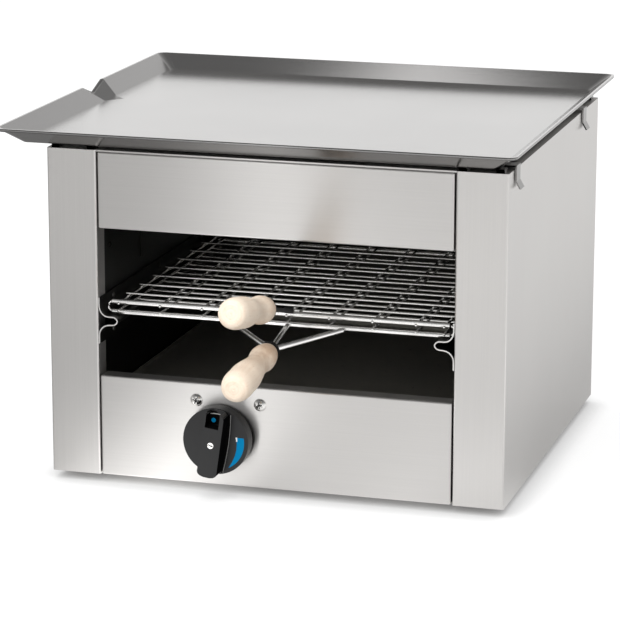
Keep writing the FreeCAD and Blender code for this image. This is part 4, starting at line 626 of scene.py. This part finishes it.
class TOASTER_OT_marks(bpy.types.Operator):
    """Add the knob's flame marks, its ridge with a painted highlight, a painted shadow at the grip's foot, a painted
    glint, the window's floor drawn as shade, and painted shade for the recesses of the screws
    """
    bl_idname = "toaster.marks"
    bl_label = "Marks and recesses"

    def flat(self, name, outline, place, thickness, material, body, slot=None):
        points = [(x / 1000.0, z / 1000.0) for x, z in outline]
        mesh = mesh_from(name, lambda work: plate(work, points, 0.0, thickness / 1000.0), flat=True)
        mesh.transform(Matrix.Translation(place))
        return make(name, mesh, material, body)

    def execute(self, context):
        knob = settings().knob
        axis = knob_axis()
        blue = cast_finish("blue print", knob.blue, 0.6, 0.0, variation=0.06)
        blue.node_tree.nodes["Principled BSDF"].inputs["Specular IOR Level"].default_value = 0.1
        white = cast_finish("white print", (0.86, 0.86, 0.84), 0.5, 0.0, variation=0.03)
        # Matt black for painted shadow and shade on the knob.
        dull = cast_finish("painted shadow black", (0.002, 0.002, 0.002), 0.8, 0.0)
        dull.node_tree.nodes["Principled BSDF"].inputs["Specular IOR Level"].default_value = 0.05
        # Painted highlight: a lighter grey so that the grip's thin ridge reads as lit.
        edge = cast_finish("painted highlight edge", (0.2, 0.198, 0.195), 0.3, 0.0)
        scale = (*on_arc(28.5, 10.0, -64.0, 24), *SCALE_INNER[::-1])
        self.flat("flame_scale", scale, axis, 0.12, blue, "knob")
        self.flat("scale_start", SCALE_START, axis, 0.2, white, "knob")
        # Painted shadow: a thin matt black patch on the disc along the grip's foot, where the flank's shade falls.
        self.flat("grip_painted_shadow", GRIP_FOOT + GRIP_RIDGE[::-1], axis, 0.08, dull, "knob", "knob_plastic")
        # The ridge stands half a millimetre proud; its grey is the painted highlight.
        line = eased(GRIP_RIDGE, 6)
        ridge = line + [(x + RIDGE_WIDTH, z) for x, z in line[::-1]]
        self.flat("grip_ridge", ridge, axis, 0.5, edge, "knob", "knob_plastic")
        # Painted shade: the window's floor is drawn matt black, standing in for the shade in the recess.
        window = axis + Vector((0.0, -WINDOW_RISE, 0.0))
        self.flat("window_floor", WINDOW, window, 0.08, dull, "knob", "knob_plastic")
        dot = [(x + FLAME_DOT[0], z + FLAME_DOT[1]) for x, z in on_arc(2.2, 0.0, 345.0, 23)]
        self.flat("flame_dot", dot, window, 0.2, blue, "knob")
        # Painted highlight: a grey arc across the top of the window stands in for the glint on the disc's edge there.
        self.flat("painted_glint_arc", on_arc(28.6, 98.0, 78.0, 8) + on_arc(27.7, 78.0, 98.0, 8), window, 0.25,
                  cast_finish("painted glint grey", (0.3, 0.3, 0.29), 0.5, 0.0), "knob")
        # Painted shade: flat black bars on the screw heads stand in for the shade inside their slot and cross recesses.
        dark = cast_finish("painted screw recess shade", (0.01, 0.01, 0.01), 0.5, 0.0)
        low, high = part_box("knob_screw")
        face = Vector(((low.x + high.x) / 2.0, low.y + 0.00005, (low.z + high.z) / 2.0))
        self.flat("painted_slot_shade", turned_bar(2.5, 0.4, 0.5), face, 0.15, dark, "knob")
        low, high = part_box("front_screws")
        for name, x, angle in (("left", low.x + SCREW_RADIUS, 0.35), ("right", high.x - SCREW_RADIUS, -0.2)):
            face = Vector((x, low.y + 0.0001, (low.z + high.z) / 2.0))
            for number in (0, 1):
                self.flat(f"{name}_screw_recess_{number}", turned_bar(3.1, 0.5, angle + number * math.pi / 2),
                          face, 0.2, dark, "cabinet")
        return {"FINISHED"}


def tube(work, line, radius, closed=False, sides=10):
    """A round bar along a line of points in metres."""
    rings = []
    count = len(line)
    for i, point in enumerate(line):
        before = line[i - 1] if i or closed else point
        after = line[(i + 1) % count] if i < count - 1 or closed else point
        ahead = (after - before).normalized()
        across = ahead.cross(Vector((0.0, 0.0, 1.0)))
        across = across.normalized() if across.length > 0.05 else Vector((0.0, 1.0, 0.0))
        up = across.cross(ahead).normalized()
        rings.append([work.verts.new(point + (across * math.cos(2 * math.pi * k / sides)
                                              + up * math.sin(2 * math.pi * k / sides)) * radius)
                      for k in range(sides)])
    for one, two in zip(rings, rings[1:] + (rings[:1] if closed else [])):
        for k in range(sides):
            work.faces.new((one[k], one[(k + 1) % sides], two[(k + 1) % sides], two[k]))
    if not closed:
        work.faces.new(rings[0])
        work.faces.new(rings[-1][::-1])


# The wires from front to back and the ends of the front rods, from the cabinet's left side in millimetres
LONG_WIRES = (*(66.6 + 42.1 * i for i in range(8)), 388.5)
ROD_ENDS = ((61.5, -1.0), (392.0, 1.0))
# Name, body, height of the front rod, and on which side of it the wires lie
GRIDS = (("lower_grid", "rack", 161.0, 1), ("upper_grid", "rack_lid", 171.0, -1))


class TOASTER_OT_welds(bpy.types.Operator):
    """Put weld beads on the grids and round links at their front corners"""
    bl_idname = "toaster.welds"
    bl_label = "Welds and links"

    def execute(self, context):
        wire = bpy.data.materials["bright plated wire"]
        for name, body, level, side in GRIDS:

            def build(work):
                for x in LONG_WIRES:
                    bmesh.ops.create_icosphere(work, subdivisions=2, radius=0.0015,
                                               matrix=Matrix.Translation(spot(x, 10.3, level + 1.4 * side)))
            make(name + "_welds", mesh_from(name + "_welds", build), wire, body)

        def links(work):
            middle = (GRIDS[0][2] + GRIDS[1][2]) / 2.0
            for end, way in ROD_ENDS:
                turns = [math.radians(angle) for angle in range(-80, 81, 20)]
                line = [spot(end + way * (1.3 + 4.9 * math.cos(turn)), 12.5, middle + 4.8 * math.sin(turn))
                        for turn in turns]
                tube(work, line, 0.0013)
        piece = make("lid_links", mesh_from("lid_links", links), wire, "rack_lid")
        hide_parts("lid_hooks")
        return {"FINISHED"}


# Middle of the runner rail's strip, as distance from the cabinet's side and height
RAIL_LINE = ((50.1, 176.0), (50.1, 169.0), (50.6, 165.2), (52.0, 161.8), (54.6, 159.1), (58.2, 157.7), (64.2, 157.5),
             (67.0, 156.2), (68.4, 153.6), (67.0, 151.0), (64.2, 149.7), (59.0, 149.2), (54.8, 147.7), (51.8, 144.6),
             (50.3, 140.6), (50.1, 130.8))
HALF_STRIP = 0.58


class TOASTER_OT_rails(bpy.types.Operator):
    """Bend the runner rails, dark with a bright cut edge"""
    bl_idname = "toaster.rails"
    bl_label = "Runner rails"

    def execute(self, context):
        steel = settings().steel
        dull = dark_sheet("rail face", shade(steel.lining, 2.2), 0.4)
        bright = plated_wire("rail cut edge", (0.72, 0.71, 0.69), 0.4)
        for side in ("left", "right"):
            low, high = (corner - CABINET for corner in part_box(side + "_runner_rail"))
            line = eased(RAIL_LINE, 4)
            if side == "right":
                line = [(CABINET_WIDTH - x, z) for x, z in line]

            def build(work):
                edges = []
                for i, (x, z) in enumerate(line):
                    before, after = line[max(i - 1, 0)], line[min(i + 1, len(line) - 1)]
                    ahead = Vector((after[0] - before[0], after[1] - before[1])).normalized() * HALF_STRIP
                    edges.append([work.verts.new(spot(x + s * ahead.y, y, z - s * ahead.x))
                                  for s in (-1, 1) for y in (low.y * 1000.0, high.y * 1000.0)])
                for one, two in zip(edges, edges[1:]):
                    for j, k in ((0, 1), (1, 3), (3, 2), (2, 0)):
                        work.faces.new((one[j], one[k], two[k], two[j]))
                for ends in (edges[0], edges[-1]):
                    work.faces.new((ends[0], ends[1], ends[3], ends[2]))
            mesh = mesh_from(side + "_rail", build)
            piece = make(side + "_rail", mesh, dull, "cabinet")
            mesh.materials.append(bright)
            mesh.set_sharp_from_angle(angle=0.8)
            for face in mesh.polygons:
                if face.normal.y < -0.5:
                    face.material_index = 1
            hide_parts(side + "_runner_rail")
        return {"FINISHED"}


# Middle of the tray's spout behind the cabinet's front, and its bead's line as way from there and drop, in metres
SPOUT_MIDDLE = 0.243
SPOUT_LINE = ((0.0285, 0.0), (0.027, 0.0006), (0.002, 0.0086), (0.0, 0.0091), (-0.002, 0.0086), (-0.027, 0.0006),
              (-0.0285, 0.0))


class TOASTER_OT_hem(bpy.types.Operator):
    """Roll the warming tray's rim into a bead"""
    bl_idname = "toaster.hem"
    bl_label = "Tray hem"

    def execute(self, context):
        low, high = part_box("warming_tray")
        bead, corner = 0.0016, 0.009
        left, right, front, back = low.x + bead, high.x - bead, low.y + bead, high.y - bead
        top = high.z - bead
        line = []
        for x, y, start in ((left + corner, front + corner, 180), (right - corner, front + corner, 270),
                            (right - corner, back - corner, 0), (left + corner, back - corner, 90)):
            for step in range(7):
                angle = math.radians(start + 15.0 * step)
                line.append(Vector((x + corner * math.cos(angle), y + corner * math.sin(angle), top)))
        for off, down in SPOUT_LINE:
            line.append(Vector((left, CABINET.y + SPOUT_MIDDLE + off, top - down)))
        # Painted shade: the bead is drawn at half the tray's colour to look as dark as its reflections, and its
        # downward faces are darkened further.
        hem = sheet_steel("rolled hem with painted shade", shade(settings().steel.tray, 0.5), 0.2, (1.0, 0.0, 0.0), brushed=0.0, painted_underside_shade=0.5)
        mesh = mesh_from("tray_hem", lambda work: tube(work, line, bead, closed=True))
        make("tray_hem", mesh, hem, "tray")
        return {"FINISHED"}


CAMERA_PLACE = (1032.0, -2614.62, 861.66)
CAMERA_TURN = (math.pi / 2 - 0.24527, -0.00114, 0.28694)
# How bright metal sees the floor, from 1 m left of the middle (0) to 1 m right of it (1)
FLOOR_ACROSS = ((0.0, 0.0), (0.32, 0.0), (0.385, 0.15), (0.45, 1.0), (0.5, 0.3), (0.57, 0.45), (0.66, 0.28),
                (0.85, 0.58))
# Where the floor looks brighter still, from 1 m in front of the middle (0) to 1 m behind it (1), and how much
FLOOR_NEAR = ((0.0, 0.0), (0.2, 0.0), (0.36, 1.0), (0.44, 1.0), (0.5, 0.1))
NEAR_GAIN = 1.9
# How bright metal sees the surroundings, from level (0) to straight overhead (1), which the stage sets
SKY = ((0.0, 1.0), (0.22, 1.0), (0.33, 0.55), (0.7, 0.28))
# Name, place, share of the key light's power, width, height, and whether metal mirrors it
LAMPS = (("key", (-0.2, -2.0, 1.25), 1.0, 1.6, 1.0, False),
         ("strip", (-0.36, -1.35, 0.5), 0.017, 0.12, 0.9, True),
         ("streak", (-0.4, 0.35, 2.2), 0.013, 0.35, 0.35, True))
LAMP_AIM = Vector((0.0, 0.0, 0.15))


class TOASTER_OT_stage(bpy.types.Operator):
    """Set up the floor, the light and the camera"""
    bl_idname = "toaster.stage"
    bl_label = "Stage"

    def execute(self, context):
        stage = settings().stage
        scene = context.scene
        scene.view_settings.view_transform = "Standard"
        self.floor(scene, stage)
        self.surroundings(scene, stage)
        self.lamps(scene, stage)
        camera = bpy.data.objects.new("camera", bpy.data.cameras.new("camera"))
        scene.collection.objects.link(camera)
        camera.data.lens = stage.lens
        camera.data.sensor_width = 36.0
        camera.data.clip_end = 50.0
        camera.location = spot(*CAMERA_PLACE)
        camera.rotation_euler = CAMERA_TURN
        scene.camera = camera
        return {"FINISHED"}

    def steps(self, ramp, stops):
        """Sets a ramp's places and grey levels."""
        elements = ramp.color_ramp.elements
        for index, (place, level) in enumerate(stops):
            stop = elements[index] if index < 2 else elements.new(place)
            stop.position, stop.color = place, (level, level, level, 1.0)

    def floor(self, scene, stage):
        """A pale floor that keeps the toaster's shadow and shows as white; metal sees it greyer at the sides."""
        material, tree, shader = new_material("pale floor")
        shader.inputs["Base Color"].default_value = (0.42, 0.42, 0.42, 1.0)
        shader.inputs["Roughness"].default_value = 0.9
        shader.inputs["Specular IOR Level"].default_value = 0.0
        shader.inputs["Emission Color"].default_value = (1.0, 1.0, 1.0, 1.0)
        path = add(tree, "ShaderNodeLightPath")
        open_sky = add(tree, "ShaderNodeAmbientOcclusion", {"Distance": 0.028}, samples=16).outputs["AO"]
        place = add(tree, "ShaderNodeSeparateXYZ", {"Vector": object_place(tree)})
        ramp = add(tree, "ShaderNodeValToRGB", {"Fac": ranged(tree, place.outputs["X"], 0.0, 1.0, -1.0, 1.0)})
        self.steps(ramp, FLOOR_ACROSS)
        near = add(tree, "ShaderNodeValToRGB", {"Fac": ranged(tree, place.outputs["Y"], 0.0, 1.0, -1.0, 1.0)})
        self.steps(near, FLOOR_NEAR)
        gain = ranged(tree, near.outputs["Color"], 1.0, NEAR_GAIN)
        ahead = math_of(tree, "MULTIPLY", ramp.outputs["Color"], gain)
        shown = math_of(tree, "ADD", math_of(tree, "MULTIPLY", path.outputs["Is Glossy Ray"], ahead),
                        math_of(tree, "MULTIPLY", path.outputs["Is Camera Ray"],
                                math_of(tree, "MULTIPLY", open_sky, stage.backdrop)))
        tree.links.new(shown, shader.inputs["Emission Strength"])
        mesh = mesh_from("floor", lambda work: bmesh.ops.create_circle(
            work, cap_ends=True, cap_tris=False, segments=96, radius=30.0))
        mesh.materials.append(material)
        ground = bpy.data.objects.new("floor", mesh)
        scene.collection.objects.link(ground)

    def surroundings(self, scene, stage):
        """Even light from all round; the camera and bright metal see a white backdrop that darkens overhead."""
        world = bpy.data.worlds.new("surroundings")
        scene.world = world
        world.use_nodes = True
        tree = world.node_tree
        background = tree.nodes["Background"]
        path = add(tree, "ShaderNodeLightPath")
        height = add(tree, "ShaderNodeSeparateXYZ", {
            "Vector": add(tree, "ShaderNodeTexCoord").outputs["Generated"]}).outputs["Z"]
        ramp = add(tree, "ShaderNodeValToRGB", {"Fac": height})
        self.steps(ramp, (*SKY, (1.0, stage.zenith)))
        mirrored = math_of(tree, "MAXIMUM", path.outputs["Is Glossy Ray"], path.outputs["Is Transmission Ray"])
        strength = blended(tree, mirrored, (stage.sky,) * 3, ramp.outputs["Color"])
        strength = blended(tree, path.outputs["Is Camera Ray"], strength, (1.0, 1.0, 1.0))
        tree.links.new(strength, background.inputs["Color"])

    def lamps(self, scene, stage):
        """The large light over the front, and two strips for metal to mirror."""
        for name, place, share, wide, tall, mirrored in LAMPS:
            lamp = bpy.data.lights.new(name, "AREA")
            lamp.shape = "RECTANGLE"
            lamp.energy, lamp.size, lamp.size_y = stage.key * share, wide, tall
            holder = bpy.data.objects.new(name, lamp)
            scene.collection.objects.link(holder)
            holder.location = place
            holder.rotation_euler = (LAMP_AIM - Vector(place)).to_track_quat("-Z", "Y").to_euler()
            holder.visible_glossy = mirrored


# Panel and registration

STEPS = (TOASTER_OT_cabinet, TOASTER_OT_cavity, TOASTER_OT_tray, TOASTER_OT_rack, TOASTER_OT_handles,
         TOASTER_OT_control, TOASTER_OT_marks, TOASTER_OT_welds, TOASTER_OT_rails, TOASTER_OT_hem, TOASTER_OT_stage)


class ToasterSettings(bpy.types.PropertyGroup):
    """All sizes and colours of the toaster."""
    steel: bpy.props.PointerProperty(type=ToasterSteel, name="Steel", description="Sheet steel")
    wood: bpy.props.PointerProperty(type=ToasterWood, name="Wood", description="Wooden handles")
    knob: bpy.props.PointerProperty(type=ToasterKnob, name="Knob", description="Gas control knob")
    stage: bpy.props.PointerProperty(type=ToasterStage, name="Stage", description="Camera and light")


class TOASTER_PT_sidebar(bpy.types.Panel):
    """The toaster's steps and settings"""
    bl_idname = "TOASTER_PT_sidebar"
    bl_label = "Gas sandwich toaster"
    bl_space_type = "VIEW_3D"
    bl_region_type = "UI"
    bl_category = "Toaster"

    def draw(self, context):
        toaster = context.scene.toaster
        for group in (toaster.steel, toaster.wood, toaster.knob, toaster.stage):
            section = self.layout.box()
            for name in group.bl_rna.properties.keys():
                if name not in ("rna_type", "name"):
                    section.prop(group, name)
        for step in STEPS:
            self.layout.operator(step.bl_idname)


CLASSES = (ToasterSteel, ToasterWood, ToasterKnob, ToasterStage, ToasterSettings, *STEPS, TOASTER_PT_sidebar)


def register():
    for item in CLASSES:
        bpy.utils.register_class(item)
    bpy.types.Scene.toaster = bpy.props.PointerProperty(type=ToasterSettings)


def unregister():
    del bpy.types.Scene.toaster
    for item in reversed(CLASSES):
        bpy.utils.unregister_class(item)


def main():
    register()
    for step in STEPS:
        group, name = step.bl_idname.split(".")
        getattr(getattr(bpy.ops, group), name)()


if __name__ == "__main__":
    main()
